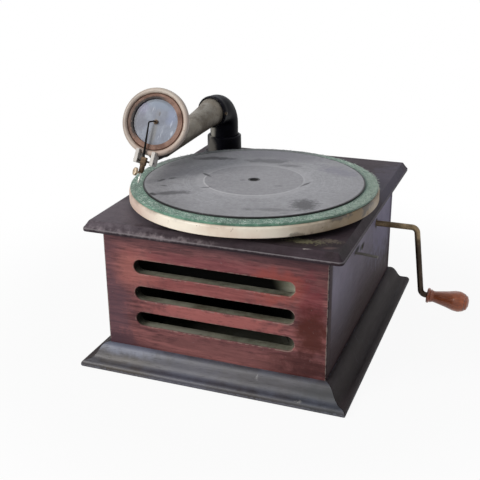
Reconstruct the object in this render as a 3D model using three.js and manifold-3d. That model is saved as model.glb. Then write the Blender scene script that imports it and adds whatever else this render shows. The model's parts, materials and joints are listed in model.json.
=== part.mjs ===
// A small table gramophone: a wooden cabinet with three sound slots, a felted turntable with a
// record on it, a swivelling tone arm with its sound box, and the crank-wound spring motor inside.
//
// Millimetres, +Z up. The origin is on the table under the middle of the top board, the sound slots
// face -Y and the crank comes out of the +X side.

import * as THREE from "three";
import { mergeVertices } from "three/addons/utils/BufferGeometryUtils.js";
import Module from "manifold-3d";

const wasm = await Module();
wasm.setup();

// ---------------------------------------------------------------- driving dimensions

const clearance = 0.3; // between pieces that touch or turn in each other
const roundSides = 28; // facets of a middle-sized turned piece
const discSides = 48; // facets of the platter and what lies on it

// Cabinet
const cabinetWidth = 180;
const cabinetDepth = 226;
const wallThickness = 9;
const boardUnderside = 115.5; // height of the walls' top end
const bottomBoardThickness = 8;

// Plinth moulding round the foot
const plinthHeight = 18;
const plinthReachSide = 19;
const plinthReachFront = 16;
const plinthReachBack = 13;

// Top board
const boardThickness = 8;
const boardNoseHeight = 2.5;
const boardOverhangSide = 12;
const boardOverhangFront = 11;
const boardOverhangBack = 6;
const boardBevelRun = 4.6;
const boardCornerRadius = 4;

// Sound slots in the front panel
const slotCount = 3;
const slotLength = 130;
const slotHeight = 11.6;
const slotPitch = 22.2;
const topSlotHeight = 87.5; // centre line of the top slot

// Turntable, felt and record
const spindleX = 4;
const spindleY = -28.6;
const platterRadius = 100;
const platterGap = 4.7; // rim above the top board
const platterRimHeight = 8.5;
const platterSheet = 1.5;
const feltRadius = 99.2;
const feltThickness = 2.1;
const recordRadius = 88.9;
const recordThickness = 1.5;
const recordHoleRadius = 3.4;
const labelRadius = 40;
const labelRise = 0.2;
const spindleRadius = 3;

// Tone arm
const armPivotX = -69;
const armPivotY = 89.5;
const bracketHeight = 19.5;
const bracketRadius = 16;
const bracketFlangeRadius = 20;
const bracketFlangeThickness = 2.6;
const elbowRadius = 13.2;
const elbowWall = 1.3;
const elbowBendRadius = 15;
const elbowCrown = 45.4; // centre line of the mouth above the top board
const armYaw = 8; // degrees, away from straight forward
const armDip = 10.5; // degrees below level
const ballRadius = 12.8;
const ballReach = 22; // ball centre in front of the swivel's axis
const mouthLip = 2.2; // elbow's mouth in front of the ball centre
const tubeLength = 84;
const tubeShoulderRadius = 11.6; // where the tube leaves the ball
const tubeEndRadius = 7.6;
const tubeWall = 1.2;
const liftScrewRadius = 1.1;
const liftScrewHead = 1.7;
const goosePipeRadius = 6.2;

// Sound box
const soundBoxRadius = 27.3;
const soundBoxDepth = 13;
const ringDepth = 4.5;
const ringLip = 4.5; // width of the pale front ring
const ringBead = 2.2; // depth of the ring's rounding
const gasketWidth = 4.2;
const diaphragmRecess = 2.6;
const diaphragmThickness = 0.6;
const soundBoxYaw = 9; // degrees, the face turned to the crank side
const soundBoxLean = 22; // degrees, the face tipped back
const soundBoxRoll = 11.2; // degrees, the needle turned to the left
const needleTipX = -78.1;
const needleTipY = -72.1;
const needleReach = 51.3; // from the sound box's axis to the needle's tip
const needleAboveRecord = 0.4;
const stylusPivotReach = 32.5;
const stylusStandOff = 2.5; // sound box frame's origin in front of the ring's face
const lugSpacing = 13.4;

// Crank
const crankY = 46.3;
const crankZ = 87.6;
const crankRodRadius = 2.5;
const crankHoleRadius = 4;
const crankBendX = 125.2; // centre line of the arm where it leaves the shaft
const crankBendRadius = 5;
const crankThrow = 61;
const crankArmLean = 7; // degrees, outwards
const handleDip = 4; // degrees
const handleLength = 36;
const handleBulge = 9;
const handleFlangeRadius = 6.6;
const handleNeckRadius = 4.8;

// Side controls
const brakeRodY = -31.2;
const brakeRodZ = 89.4;
const brakeRodRadius = 1.1;
const brakeRodReach = 18; // outside the cabinet
const brakeTravel = 2.2;
const speedHoleY = -5;
const speedHoleZ = 85;
const speedHoleRadius = 2.4;
const speedScrewRadius = 1.8;

// Spring motor
const motorBottom = 54; // underside of the lower plate
const motorPlateThickness = 2;
const motorHeight = 50; // over both plates
const motorLeft = -39;
const motorRight = 65;
const motorFront = -66;
const motorBack = 90;
const pillarRadius = 3;
const pillarInset = 7;
const pillarFootRadius = 4;
const mountRadius = 5;
const mountBulge = 0.6;
const arborX = 20; // spring barrel; its Y is the crank's
const arborRadius = 4;
const barrelRadius = 33;
const barrelHeight = 16.5;
const barrelWall = 1.5;
const springTurns = 5;
const springStrip = 0.8;
const wheelWidth = 2.5;
const pinionWidth = 4.5;
const greatModule = 1.3;
const greatTeeth = 60;
const trainModule = 1.2;
const trainTeeth = 50;
const pinionTeeth = 10;
const crownTeeth = 30;
const crownRim = 3;
const layshaftRadius = 2;

// Governor
const wormStarts = 4;
const wormWheelTeeth = 32;
const wormModule = 0.9; // square to the teeth
const wormHelix = 60; // degrees, from the worm's own axis
const wormLength = 16;
const wormWheelWidth = 5;
const governorFloorGap = 1.5; // disc's rim above the lower plate
const governorRodRadius = 1.5;
const governorDiscRadius = 15;
const governorDiscThickness = 1.5;
const governorDiscX = 40;
const governorCollarX = 17;
const governorWeights = 3;
const governorWeightRadius = 3.4;

// ---------------------------------------------------------------- places worked out from them

const boardTop = boardUnderside + boardThickness;
const rimBottom = boardTop + platterGap;
const platterTop = rimBottom + platterRimHeight;
const feltTop = platterTop + feltThickness;
const recordTop = feltTop + recordThickness;
const wallBottom = bottomBoardThickness + clearance;
const halfWidth = cabinetWidth / 2;
const boardHalfDepth = (cabinetDepth + boardOverhangFront + boardOverhangBack) / 2;
const frontY = boardOverhangFront - boardHalfDepth; // the walls' outer faces
const backY = boardHalfDepth - boardOverhangBack;
const motorTop = motorBottom + motorHeight;
const motorFloor = motorBottom + motorPlateThickness;
const motorCeiling = motorTop - motorPlateThickness;
const governorHeight = motorFloor + governorFloorGap + governorDiscRadius;
const radians = THREE.MathUtils.degToRad;

// ---------------------------------------------------------------- finishes

function finish(color, roughness, metalness) {
  return new THREE.MeshStandardMaterial({ color, roughness, metalness });
}

const mahogany = finish(0x6a3230, 0.45, 0);
const darkBoard = finish(0x34282f, 0.5, 0);
const plinthWood = finish(0x2c2624, 0.45, 0);
const rawWood = finish(0x9a8460, 0.8, 0);
const creamPaint = finish(0xd8cdb4, 0.55, 0.1);
const greenFelt = finish(0x3f7a5c, 0.95, 0);
const shellac = finish(0x55565a, 0.6, 0);
const blackEnamel = finish(0x1a1b22, 0.35, 0.3);
const tarnishedNickel = finish(0x77746c, 0.45, 0.8);
const copperGasket = finish(0x7d4f3c, 0.6, 0.2);
const mica = finish(0xa8aec8, 0.2, 0);
const darkSteel = finish(0x33302c, 0.5, 0.7);
const brightSteel = finish(0xb9b9b4, 0.3, 0.9);
const brass = finish(0xa5813d, 0.4, 0.8);
const crankSteel = finish(0x6b5235, 0.4, 0.8);
const turnedWood = finish(0xa4592a, 0.25, 0);
const rubber = finish(0x2a2a2a, 0.9, 0);

// ---------------------------------------------------------------- geometry helpers

function point(x, y, z) {
  return new THREE.Vector3(x, y, z);
}

// Only positions, shared vertices merged.
function bare(geometry) {
  const copy = geometry.clone();
  copy.deleteAttribute("normal");
  copy.deleteAttribute("uv");
  return mergeVertices(copy, 1e-4);
}

function enclosedVolume(geometry) {
  const position = geometry.attributes.position;
  const index = geometry.index.array;
  const a = new THREE.Vector3();
  const b = new THREE.Vector3();
  const c = new THREE.Vector3();
  let sum = 0;
  for (let i = 0; i < index.length; i += 3) {
    a.fromBufferAttribute(position, index[i]);
    b.fromBufferAttribute(position, index[i + 1]);
    c.fromBufferAttribute(position, index[i + 2]);
    sum += a.dot(b.cross(c)) / 6;
  }
  return sum;
}

// The same surface with its faces pointing out.
function outward(geometry) {
  const closed = bare(geometry);
  if (enclosedVolume(closed) < 0) {
    const index = closed.index.array;
    for (let i = 0; i < index.length; i += 3) {
      const swap = index[i];
      index[i] = index[i + 1];
      index[i + 1] = swap;
    }
  }
  return closed;
}

function toSolid(geometry) {
  const closed = outward(geometry);
  return new wasm.Manifold(
    new wasm.Mesh({
      numProp: 3,
      vertProperties: new Float32Array(closed.attributes.position.array),
      triVerts: new Uint32Array(closed.index.array),
    }),
  );
}

function fromSolid(solid) {
  const mesh = solid.getMesh();
  const geometry = new THREE.BufferGeometry();
  geometry.setAttribute("position", new THREE.BufferAttribute(mesh.vertProperties, 3));
  geometry.setIndex(new THREE.BufferAttribute(mesh.triVerts, 1));
  return geometry;
}

function cut(geometry, ...tools) {
  return fromSolid(tools.reduce((rest, tool) => rest.subtract(toSolid(tool)), toSolid(geometry)));
}

function fuse(first, ...others) {
  return fromSolid(others.reduce((whole, piece) => whole.add(toSolid(piece)), toSolid(first)));
}

// A body of revolution about Z. The profile is a closed list of [radius, height].
function turned(profile, sides = roundSides) {
  const points = profile.map(([radius, height]) => new THREE.Vector2(radius, height));
  if (profile.every(([radius]) => radius > 0)) points.push(points[0].clone());
  const geometry = new THREE.LatheGeometry(points, sides);
  geometry.rotateX(Math.PI / 2);
  return outward(geometry);
}

function rod(radius, bottom, top, sides = 16) {
  return turned([[0, bottom], [radius, bottom], [radius, top], [0, top]], sides);
}

function prism(shape, thickness, curveSegments = 8) {
  return new THREE.ExtrudeGeometry(shape, { depth: thickness, bevelEnabled: false, curveSegments });
}

function box(x0, x1, y0, y1, z0, z1) {
  const geometry = new THREE.BoxGeometry(x1 - x0, y1 - y0, z1 - z0);
  return geometry.translate((x0 + x1) / 2, (y0 + y1) / 2, (z0 + z1) / 2);
}

function circlePath(x, y, radius) {
  return new THREE.Path().absarc(x, y, radius, 0, 2 * Math.PI, true);
}

function roundedRectangle(x0, x1, y0, y1, radius) {
  const shape = new THREE.Shape();
  shape.absarc(x1 - radius, y1 - radius, radius, 0, Math.PI / 2);
  shape.absarc(x0 + radius, y1 - radius, radius, Math.PI / 2, Math.PI);
  shape.absarc(x0 + radius, y0 + radius, radius, Math.PI, 1.5 * Math.PI);
  shape.absarc(x1 - radius, y0 + radius, radius, 1.5 * Math.PI, 2 * Math.PI);
  shape.closePath();
  return shape;
}

// Triangles of the flat face inside a ring, wound the way the ring runs.
function faceOf(ring) {
  const normal = new THREE.Vector3();
  ring.forEach((p, i) => normal.add(p.clone().cross(ring[(i + 1) % ring.length])));
  const size = [normal.x, normal.y, normal.z].map(Math.abs);
  const drop = size.indexOf(Math.max(...size));
  const flat = ring.map((p) => {
    const kept = p.toArray().filter((_, axis) => axis !== drop);
    return new THREE.Vector2(...kept);
  });
  const triangles = THREE.ShapeUtils.triangulateShape(flat, []);
  return THREE.ShapeUtils.isClockWise(flat) ? triangles.map(([a, b, c]) => [c, b, a]) : triangles;
}

// A skin over rings of equally many points. Open lofts get flat ends, a looped one closes on itself.
function loft(rings, looped = false) {
  const count = rings[0].length;
  const positions = rings.flat().flatMap((p) => [p.x, p.y, p.z]);
  const index = [];
  const lastRing = looped ? rings.length : rings.length - 1;
  for (let r = 0; r < lastRing; r += 1) {
    const next = (r + 1) % rings.length;
    for (let i = 0; i < count; i += 1) {
      const j = (i + 1) % count;
      index.push(r * count + i, r * count + j, next * count + j);
      index.push(r * count + i, next * count + j, next * count + i);
    }
  }
  if (!looped) {
    const end = (rings.length - 1) * count;
    for (const [a, b, c] of faceOf(rings[0])) index.push(c, b, a);
    for (const [a, b, c] of faceOf(rings[rings.length - 1])) index.push(end + a, end + b, end + c);
  }
  const geometry = new THREE.BufferGeometry();
  geometry.setAttribute("position", new THREE.Float32BufferAttribute(positions, 3));
  geometry.setIndex(index);
  return outward(geometry);
}

// A round bar or pipe along a path.
function swept(path, steps, outer, inner = 0, sides = 16) {
  const shape = new THREE.Shape().absarc(0, 0, outer, 0, 2 * Math.PI);
  if (inner > 0) shape.holes.push(circlePath(0, 0, inner));
  return outward(
    new THREE.ExtrudeGeometry(shape, {
      steps,
      extrudePath: path,
      bevelEnabled: false,
      curveSegments: sides / 2,
    }),
  );
}

// A path of straight runs joined by round bends. The corners list holds [point, bend radius].
function bentPath(corners, stepsPerBend = 5) {
  const places = [corners[0][0]];
  for (let i = 1; i < corners.length - 1; i += 1) {
    const [corner, radius] = corners[i];
    const back = corners[i - 1][0].clone().sub(corner).normalize();
    const ahead = corners[i + 1][0].clone().sub(corner).normalize();
    const half = back.angleTo(ahead) / 2;
    const middle = back.clone().add(ahead).normalize();
    const centre = corner.clone().addScaledVector(middle, radius / Math.sin(half));
    const start = corner.clone().addScaledVector(back, radius / Math.tan(half));
    const axis = back.clone().cross(ahead).normalize();
    const spoke = start.clone().sub(centre);
    for (let s = 0; s <= stepsPerBend; s += 1) {
      const turn = ((2 * half - Math.PI) * s) / stepsPerBend;
      places.push(centre.clone().add(spoke.clone().applyAxisAngle(axis, turn)));
    }
  }
  places.push(corners[corners.length - 1][0]);
  return places;
}

// A round bar through a list of places, one ring at each, square to the way it runs.
function barThrough(places, radius, sides = 10) {
  const tangents = places.map((place, i) => {
    const before = places[Math.max(i - 1, 0)];
    const after = places[Math.min(i + 1, places.length - 1)];
    return after.clone().sub(before).normalize();
  });
  const side = new THREE.Vector3(0, 1, 0);
  if (Math.abs(tangents[0].dot(side)) > 0.9) side.set(0, 0, 1);
  const rings = places.map((place, i) => {
    side.addScaledVector(tangents[i], -side.dot(tangents[i])).normalize();
    const other = tangents[i].clone().cross(side);
    return Array.from({ length: sides }, (_, k) => {
      const angle = (2 * Math.PI * k) / sides;
      const out = side.clone().multiplyScalar(radius * Math.cos(angle));
      return place.clone().add(out).addScaledVector(other, radius * Math.sin(angle));
    });
  });
  return loft(rings);
}

function piece(group, name, geometry, material) {
  const mesh = new THREE.Mesh(outward(geometry), material);
  mesh.name = name;
  group.add(mesh);
  return mesh;
}

// Carries a shape's x to Y, its y to Z and its thickness to X.
const uprightPlane = new THREE.Matrix4().makeBasis(point(0, 1, 0), point(0, 0, 1), point(1, 0, 0));

function groupAt(parent, x, y, z) {
  const group = new THREE.Group();
  group.position.set(x, y, z);
  parent.add(group);
  return group;
}

// ---------------------------------------------------------------- gear teeth

// Tooth widths as shares of the tooth pitch, and heights in modules.
const toothTipShare = 0.2;
const toothRootShare = 0.52;
const toothAddendum = 0.75;
const toothDedendum = 1.05;

// The outline of a spur gear, one tooth centred on the angle phase.
function gearOutline(teeth, pitchRadius, module, phase = 0) {
  const pitch = (2 * Math.PI) / teeth;
  const tip = pitchRadius + toothAddendum * module;
  const root = pitchRadius - toothDedendum * module;
  const corners = [
    [root, -toothRootShare / 2],
    [tip, -toothTipShare / 2],
    [tip, toothTipShare / 2],
    [root, toothRootShare / 2],
  ];
  const outline = [];
  for (let tooth = 0; tooth < teeth; tooth += 1) {
    for (const [radius, share] of corners) {
      const angle = phase + (tooth + share) * pitch;
      outline.push(new THREE.Vector2(radius * Math.cos(angle), radius * Math.sin(angle)));
    }
  }
  return outline;
}

function spurGear(teeth, module, width, boreRadius, phase) {
  const shape = new THREE.Shape(gearOutline(teeth, (teeth * module) / 2, module, phase));
  if (boreRadius > 0) shape.holes.push(circlePath(0, 0, boreRadius));
  return prism(shape, width, 6);
}

// Phase of a gear that meshes with another: angle points from the first gear to the second.
function meshingPhase(angle, firstPhase, firstTeeth, secondTeeth) {
  const lead = firstPhase - angle;
  return angle + Math.PI + Math.PI / secondTeeth - (lead * firstTeeth) / secondTeeth;
}

// A gear whose teeth wind round it, centred on z = 0. Twist is in radians per millimetre.
function helicalGear(teeth, pitchRadius, module, width, twist, phase, steps) {
  const rings = [];
  for (let s = 0; s <= steps; s += 1) {
    const height = width * (s / steps - 0.5);
    const outline = gearOutline(teeth, pitchRadius, module, phase + twist * height);
    rings.push(outline.map((p) => point(p.x, p.y, height)));
  }
  return loft(rings);
}

// A wheel whose teeth stand up from its rim. The pitch plane is z = 0.
function crownRing(teeth, innerRadius, outerRadius, module, bottom) {
  const levels = [
    [-toothRootShare / 2, -toothDedendum * module],
    [-toothTipShare / 2, toothAddendum * module],
    [toothTipShare / 2, toothAddendum * module],
    [toothRootShare / 2, -toothDedendum * module],
  ];
  const rings = [];
  for (let tooth = 0; tooth < teeth; tooth += 1) {
    for (const [share, top] of levels) {
      const angle = ((tooth + share) * 2 * Math.PI) / teeth;
      const section = [
        [innerRadius, bottom],
        [outerRadius, bottom],
        [outerRadius, top],
        [innerRadius, top],
      ];
      rings.push(section.map(([r, z]) => point(r * Math.cos(angle), r * Math.sin(angle), z)));
    }
  }
  return loft(rings, true);
}

// ---------------------------------------------------------------- cabinet

const gramophone = new THREE.Group();

// The ogee: a round shoulder, a hollow, and a nose at the foot. Each entry is
// [share of the reach, height], from the wall outwards and down.
function plinthProfile() {
  const shoulder = new THREE.Path();
  shoulder.moveTo(0, plinthHeight);
  shoulder.bezierCurveTo(0.22, plinthHeight, 0.3, 0.86 * plinthHeight, 0.45, 0.56 * plinthHeight);
  shoulder.bezierCurveTo(0.56, 0.36 * plinthHeight, 0.66, 0.3 * plinthHeight, 0.8, 0.3 * plinthHeight);
  shoulder.bezierCurveTo(0.93, 0.3 * plinthHeight, 1, 0.2 * plinthHeight, 1, 0.08 * plinthHeight);
  shoulder.lineTo(0.97, 0);
  return shoulder.getPoints(5).map((p) => [p.x, p.y]);
}

// Four mouldings with mitred ends. Each corner is [wall x, wall y, nose x, nose y], and each piece
// stands clear of its wall, which keeps the mitres apart too.
function buildPlinth(parent) {
  const corner = (sideways, wallY, reach) => [
    sideways * halfWidth,
    wallY,
    sideways * (halfWidth + plinthReachSide),
    wallY + Math.sign(wallY) * reach,
  ];
  const corners = [
    corner(-1, frontY, plinthReachFront),
    corner(1, frontY, plinthReachFront),
    corner(1, backY, plinthReachBack),
    corner(-1, backY, plinthReachBack),
  ];
  ["plinth_front", "plinth_right", "plinth_back", "plinth_left"].forEach((name, i) => {
    const ends = [corners[i], corners[(i + 1) % corners.length]];
    const along = point(ends[1][0] - ends[0][0], ends[1][1] - ends[0][1], 0).normalize();
    const off = point(along.y, -along.x, 0).multiplyScalar(clearance);
    const ring = ([wallX, wallY, noseX, noseY]) =>
      [...plinthProfile(), [0, 0]].map(([share, height]) =>
        point(
          THREE.MathUtils.lerp(wallX, noseX, share),
          THREE.MathUtils.lerp(wallY, noseY, share),
          height,
        ).add(off),
      );
    piece(parent, name, loft(ends.map(ring)), plinthWood);
  });
}

function buildWalls(parent) {
  const top = boardUnderside - clearance;
  const floor = box(-halfWidth, halfWidth, frontY, backY, 0, bottomBoardThickness);
  piece(parent, "bottom_board", floor, rawWood);

  const face = new THREE.Shape();
  face.moveTo(-halfWidth, wallBottom);
  face.lineTo(halfWidth, wallBottom);
  face.lineTo(halfWidth, top);
  face.lineTo(-halfWidth, top);
  face.closePath();
  for (let slot = 0; slot < slotCount; slot += 1) {
    const height = topSlotHeight - slot * slotPitch;
    const end = slotLength / 2 - slotHeight / 2;
    const opening = new THREE.Path();
    opening.absarc(end, height, slotHeight / 2, -Math.PI / 2, Math.PI / 2);
    opening.absarc(-end, height, slotHeight / 2, Math.PI / 2, 1.5 * Math.PI);
    opening.closePath();
    face.holes.push(opening);
  }
  const front = prism(face, wallThickness, 8).rotateX(Math.PI / 2);
  piece(parent, "front_panel", front.translate(0, frontY + wallThickness, 0), mahogany);
  const back = box(-halfWidth, halfWidth, backY - wallThickness, backY, wallBottom, top);
  piece(parent, "back_panel", back, mahogany);

  const near = frontY + wallThickness + clearance;
  const far = backY - wallThickness - clearance;
  const left = box(-halfWidth, -halfWidth + wallThickness, near, far, wallBottom, top);
  piece(parent, "left_panel", left, mahogany);
  const right = box(halfWidth - wallThickness, halfWidth, near, far, wallBottom, top);
  const through = (radius, y, z) =>
    rod(radius, 0, 2 * wallThickness, 20)
      .rotateY(Math.PI / 2)
      .translate(halfWidth - 1.5 * wallThickness, y, z);
  const drilled = cut(
    right,
    through(crankHoleRadius, crankY, crankZ),
    through(brakeRodRadius + clearance, brakeRodY, brakeRodZ),
    through(speedHoleRadius, speedHoleY, speedHoleZ),
  );
  piece(parent, "right_panel", drilled, mahogany);
}

const throatRadius = 10.5;
const spindleHoleRadius = 8;

function buildTopBoard(parent) {
  const outline = (inset, height) => {
    const x = halfWidth + boardOverhangSide - inset;
    const y = boardHalfDepth - inset;
    const radius = Math.max(boardCornerRadius - inset, 1);
    const shape = roundedRectangle(-x, x, -y, y, radius);
    return shape.getPoints(4).slice(0, -1).map((p) => point(p.x, p.y, height));
  };
  const rise = boardThickness - boardNoseHeight;
  const rings = [
    outline(0.6, boardUnderside),
    outline(0, boardUnderside + 0.6),
    outline(0, boardUnderside + boardNoseHeight),
    outline(0.42 * boardBevelRun, boardUnderside + boardNoseHeight + 0.56 * rise),
    outline(boardBevelRun, boardTop),
  ];
  const board = cut(
    loft(rings),
    rod(spindleHoleRadius, boardUnderside - 1, boardTop + 1, 24).translate(spindleX, spindleY, 0),
    rod(throatRadius, boardUnderside - 1, boardTop + 1, 24).translate(armPivotX, armPivotY, 0),
  );
  piece(parent, "top_board", board, darkBoard);
}

// ---------------------------------------------------------------- horn

const hornWall = 1.6;
const hornMouthHalfWidth = 69;
const hornMouthHalfHeight = 31;
const hornFloorGap = 2;

// A folded horn: down from the tone arm's foot, round at the back, then forward under the motor
// and up to the three slots. Each station is [x, y, z, half width, half height, pitch in degrees,
// squareness], pitch being how far the way forward points down.
function hornStations() {
  const floor = wallBottom + hornFloorGap + hornWall;
  const lowHalf = (motorBottom - hornFloorGap - hornWall - floor) / 2;
  const mouthY = frontY + wallThickness + clearance;
  const slotsMiddle = topSlotHeight - ((slotCount - 1) * slotPitch) / 2;
  const start = throatRadius - hornWall;
  const low = floor + lowHalf;
  return [
    [armPivotX, armPivotY, boardUnderside - clearance, start, start, 90, 2],
    [armPivotX, armPivotY, motorBottom + 10, start + 0.6, start + 0.6, 90, 2],
    [armPivotX + 2, armPivotY - 5, low + 12, start + 2, start + 2, 62, 2.2],
    [armPivotX + 5, armPivotY - 20, low + 1, start + 5, start + 4, 25, 2.6],
    [armPivotX + 14, armPivotY - 42, low, start + 14, start + 6, 0, 3],
    [-0.55 * hornMouthHalfWidth, 20, low, 0.46 * hornMouthHalfWidth, lowHalf - 2, 0, 4],
    [-0.3 * hornMouthHalfWidth, -20, low, 0.68 * hornMouthHalfWidth, lowHalf, 0, 5],
    [-0.06 * hornMouthHalfWidth, motorFront - 4, low, 0.9 * hornMouthHalfWidth, lowHalf, -14, 6],
    [0, mouthY, slotsMiddle, hornMouthHalfWidth, hornMouthHalfHeight, 0, 8],
  ];
}

function buildHorn(parent) {
  const count = 24;
  const ring = (wall) => ([x, y, z, halfAcross, halfHigh, pitch, squareness]) => {
    const up = point(0, -Math.sin(radians(pitch)), Math.cos(radians(pitch)));
    return Array.from({ length: count }, (_, i) => {
      const angle = (2 * Math.PI * (i + 0.5)) / count;
      const corner = (value) => Math.sign(value) * Math.abs(value) ** (2 / squareness);
      const across = (halfAcross + wall) * corner(Math.cos(angle));
      const high = (halfHigh + wall) * corner(Math.sin(angle));
      return point(x + across, y, z).addScaledVector(up, high);
    });
  };
  const stations = hornStations();
  const outer = stations.map(ring(hornWall));
  const inner = stations.map(ring(0)).reverse();
  piece(parent, "horn", loft([...outer, ...inner], true), tarnishedNickel);
}

// ---------------------------------------------------------------- tone arm

const bracketBore = elbowRadius + clearance;
const bracketShoulder = 3; // the ledge in the collar that carries the elbow

function buildBracket(parent) {
  const group = groupAt(parent, armPivotX, armPivotY, boardTop);
  const profile = [
    [throatRadius, clearance],
    [bracketFlangeRadius, clearance],
    [bracketFlangeRadius, 0.7 * bracketFlangeThickness],
    [bracketFlangeRadius - 0.8, bracketFlangeThickness],
    [bracketRadius, bracketFlangeThickness + 0.4],
    [bracketRadius, bracketHeight - 1.6],
    [bracketRadius - 0.5, bracketHeight - 0.5],
    [bracketRadius - 1.2, bracketHeight],
    [bracketBore, bracketHeight],
    [bracketBore, bracketShoulder],
    [throatRadius, bracketShoulder],
  ];
  piece(group, "tonearm_bracket", turned(profile), blackEnamel);
}

// A pipe whose path stays in the YZ plane. Each station is [y, z, lean, outer, inner], lean
// being the path's angle from straight up towards -Y.
function leaningPipe(stations, sides) {
  const ring = (column) => (station) => {
    const [y, z, lean] = station;
    const ahead = point(0, -Math.cos(lean), -Math.sin(lean));
    return Array.from({ length: sides }, (_, i) => {
      const angle = (2 * Math.PI * i) / sides;
      const radius = station[column];
      return point(radius * Math.cos(angle), y, z).addScaledVector(ahead, radius * Math.sin(angle));
    });
  };
  return loft([...stations.map(ring(3)), ...stations.map(ring(4)).reverse()], true);
}

// The elbow stands on the bracket's shoulder and opens into a socket for the tube's ball.
function buildElbow(parent) {
  const group = groupAt(parent, armPivotX, armPivotY, boardTop);
  group.rotation.z = radians(-armYaw);
  const bore = elbowRadius - elbowWall;
  const socket = ballRadius + clearance;
  const bendBase = elbowCrown - elbowBendRadius;
  const stations = [[0, bracketShoulder + clearance, 0, elbowRadius, bore]];
  const bendSteps = 6;
  for (let i = 0; i <= bendSteps; i += 1) {
    const share = i / bendSteps;
    const lean = (share * Math.PI) / 2;
    const flare = THREE.MathUtils.smoothstep(share, 0.3, 1);
    const y = elbowBendRadius * (Math.cos(lean) - 1);
    const z = bendBase + elbowBendRadius * Math.sin(lean);
    const inner = THREE.MathUtils.lerp(bore, socket, flare);
    stations.push([y, z, lean, inner + elbowWall, inner]);
  }
  const mouth = -ballReach - mouthLip;
  const level = Math.PI / 2;
  stations.push([mouth + 0.4, elbowCrown, level, socket + elbowWall, socket]);
  stations.push([mouth, elbowCrown, level, socket + elbowWall - 0.4, socket]);
  const acrossBall = rod(liftScrewRadius + clearance, -2 * ballRadius, 2 * ballRadius, 12);
  acrossBall.rotateY(Math.PI / 2).translate(0, -ballReach, elbowCrown);
  piece(group, "tonearm_elbow", cut(leaningPipe(stations, 20), acrossBall), blackEnamel);

  const inner = ballRadius - tubeWall - 0.5;
  const outer = socket + elbowWall + clearance;
  for (const [name, side] of [["lift_screw_left", -1], ["lift_screw_right", 1]]) {
    const screw = turned([
      [0, inner],
      [liftScrewRadius, inner],
      [liftScrewRadius, outer],
      [liftScrewHead, outer],
      [liftScrewHead, outer + 0.6],
      [liftScrewHead - 0.6, outer + 1.1],
      [0, outer + 1.1],
    ], 12);
    screw.rotateY((side * Math.PI) / 2).translate(0, -ballReach, elbowCrown);
    piece(group, name, screw, darkSteel);
  }
}

const ballCentre = point(
  armPivotX - Math.sin(radians(armYaw)) * ballReach,
  armPivotY - Math.cos(radians(armYaw)) * ballReach,
  boardTop + elbowCrown,
);
const armEuler = new THREE.Euler(radians(armDip), 0, radians(-armYaw), "ZXY");
const armDirection = point(0, -1, 0).applyEuler(armEuler);

// Sound box frame: its face looks along local -Y, its needle hangs along local -Z.
const soundBoxEuler = new THREE.Euler(
  radians(-soundBoxLean),
  radians(soundBoxRoll),
  radians(soundBoxYaw),
  "ZXY",
);
const soundBoxFacing = point(0, -1, 0).applyEuler(soundBoxEuler);
const needleTip = point(needleTipX, needleTipY, recordTop + needleAboveRecord);
const tipToCentre = point(0, -stylusStandOff / 2, needleReach).applyEuler(soundBoxEuler);
const soundBoxCentre = needleTip.clone().add(tipToCentre);

function buildTube(parent) {
  const group = groupAt(parent, ballCentre.x, ballCentre.y, ballCentre.z);
  group.rotation.copy(armEuler);
  const outer = [];
  const leaves = Math.asin(tubeShoulderRadius / ballRadius);
  const ballSteps = 5;
  for (let i = 0; i <= ballSteps; i += 1) {
    const angle = THREE.MathUtils.lerp(radians(112), leaves, i / ballSteps);
    outer.push([ballRadius * Math.sin(angle), ballRadius * Math.cos(angle)]);
  }
  const start = outer[outer.length - 1][1];
  const taperSteps = 3;
  for (let i = 1; i <= taperSteps; i += 1) {
    const share = i / taperSteps;
    const radius = THREE.MathUtils.lerp(tubeShoulderRadius, tubeEndRadius, share ** 0.8);
    outer.push([radius, THREE.MathUtils.lerp(start, tubeLength, share)]);
  }
  const inner = outer.map(([radius, height]) => [radius - tubeWall, height]).reverse();
  const tube = turned([...outer, ...inner], 20).rotateX(Math.PI / 2);
  const pivotHole = rod(liftScrewRadius + clearance, -2 * ballRadius, 2 * ballRadius, 12);
  piece(group, "tonearm_tube", cut(tube, pivotHole.rotateY(Math.PI / 2)), tarnishedNickel);
}

const neckLength = 7;

// The swan neck runs from inside the tube's end up into the back of the sound box.
function buildGooseneck(parent) {
  const start = ballCentre.clone().addScaledVector(armDirection, tubeLength + clearance);
  const backFace = soundBoxDepth + stylusStandOff;
  const end = soundBoxCentre.clone().addScaledVector(soundBoxFacing, -(backFace + clearance));
  const bulge = 1.25 * neckLength + goosePipeRadius;
  const path = new THREE.CubicBezierCurve3(
    start,
    start.clone().addScaledVector(armDirection, 2 * bulge),
    end.clone().addScaledVector(soundBoxFacing, -1.7 * bulge),
    end,
  );
  const pipe = swept(path, 12, goosePipeRadius, goosePipeRadius - tubeWall, 14);
  piece(parent, "gooseneck", pipe, tarnishedNickel);
}

// ---------------------------------------------------------------- sound box


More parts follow.
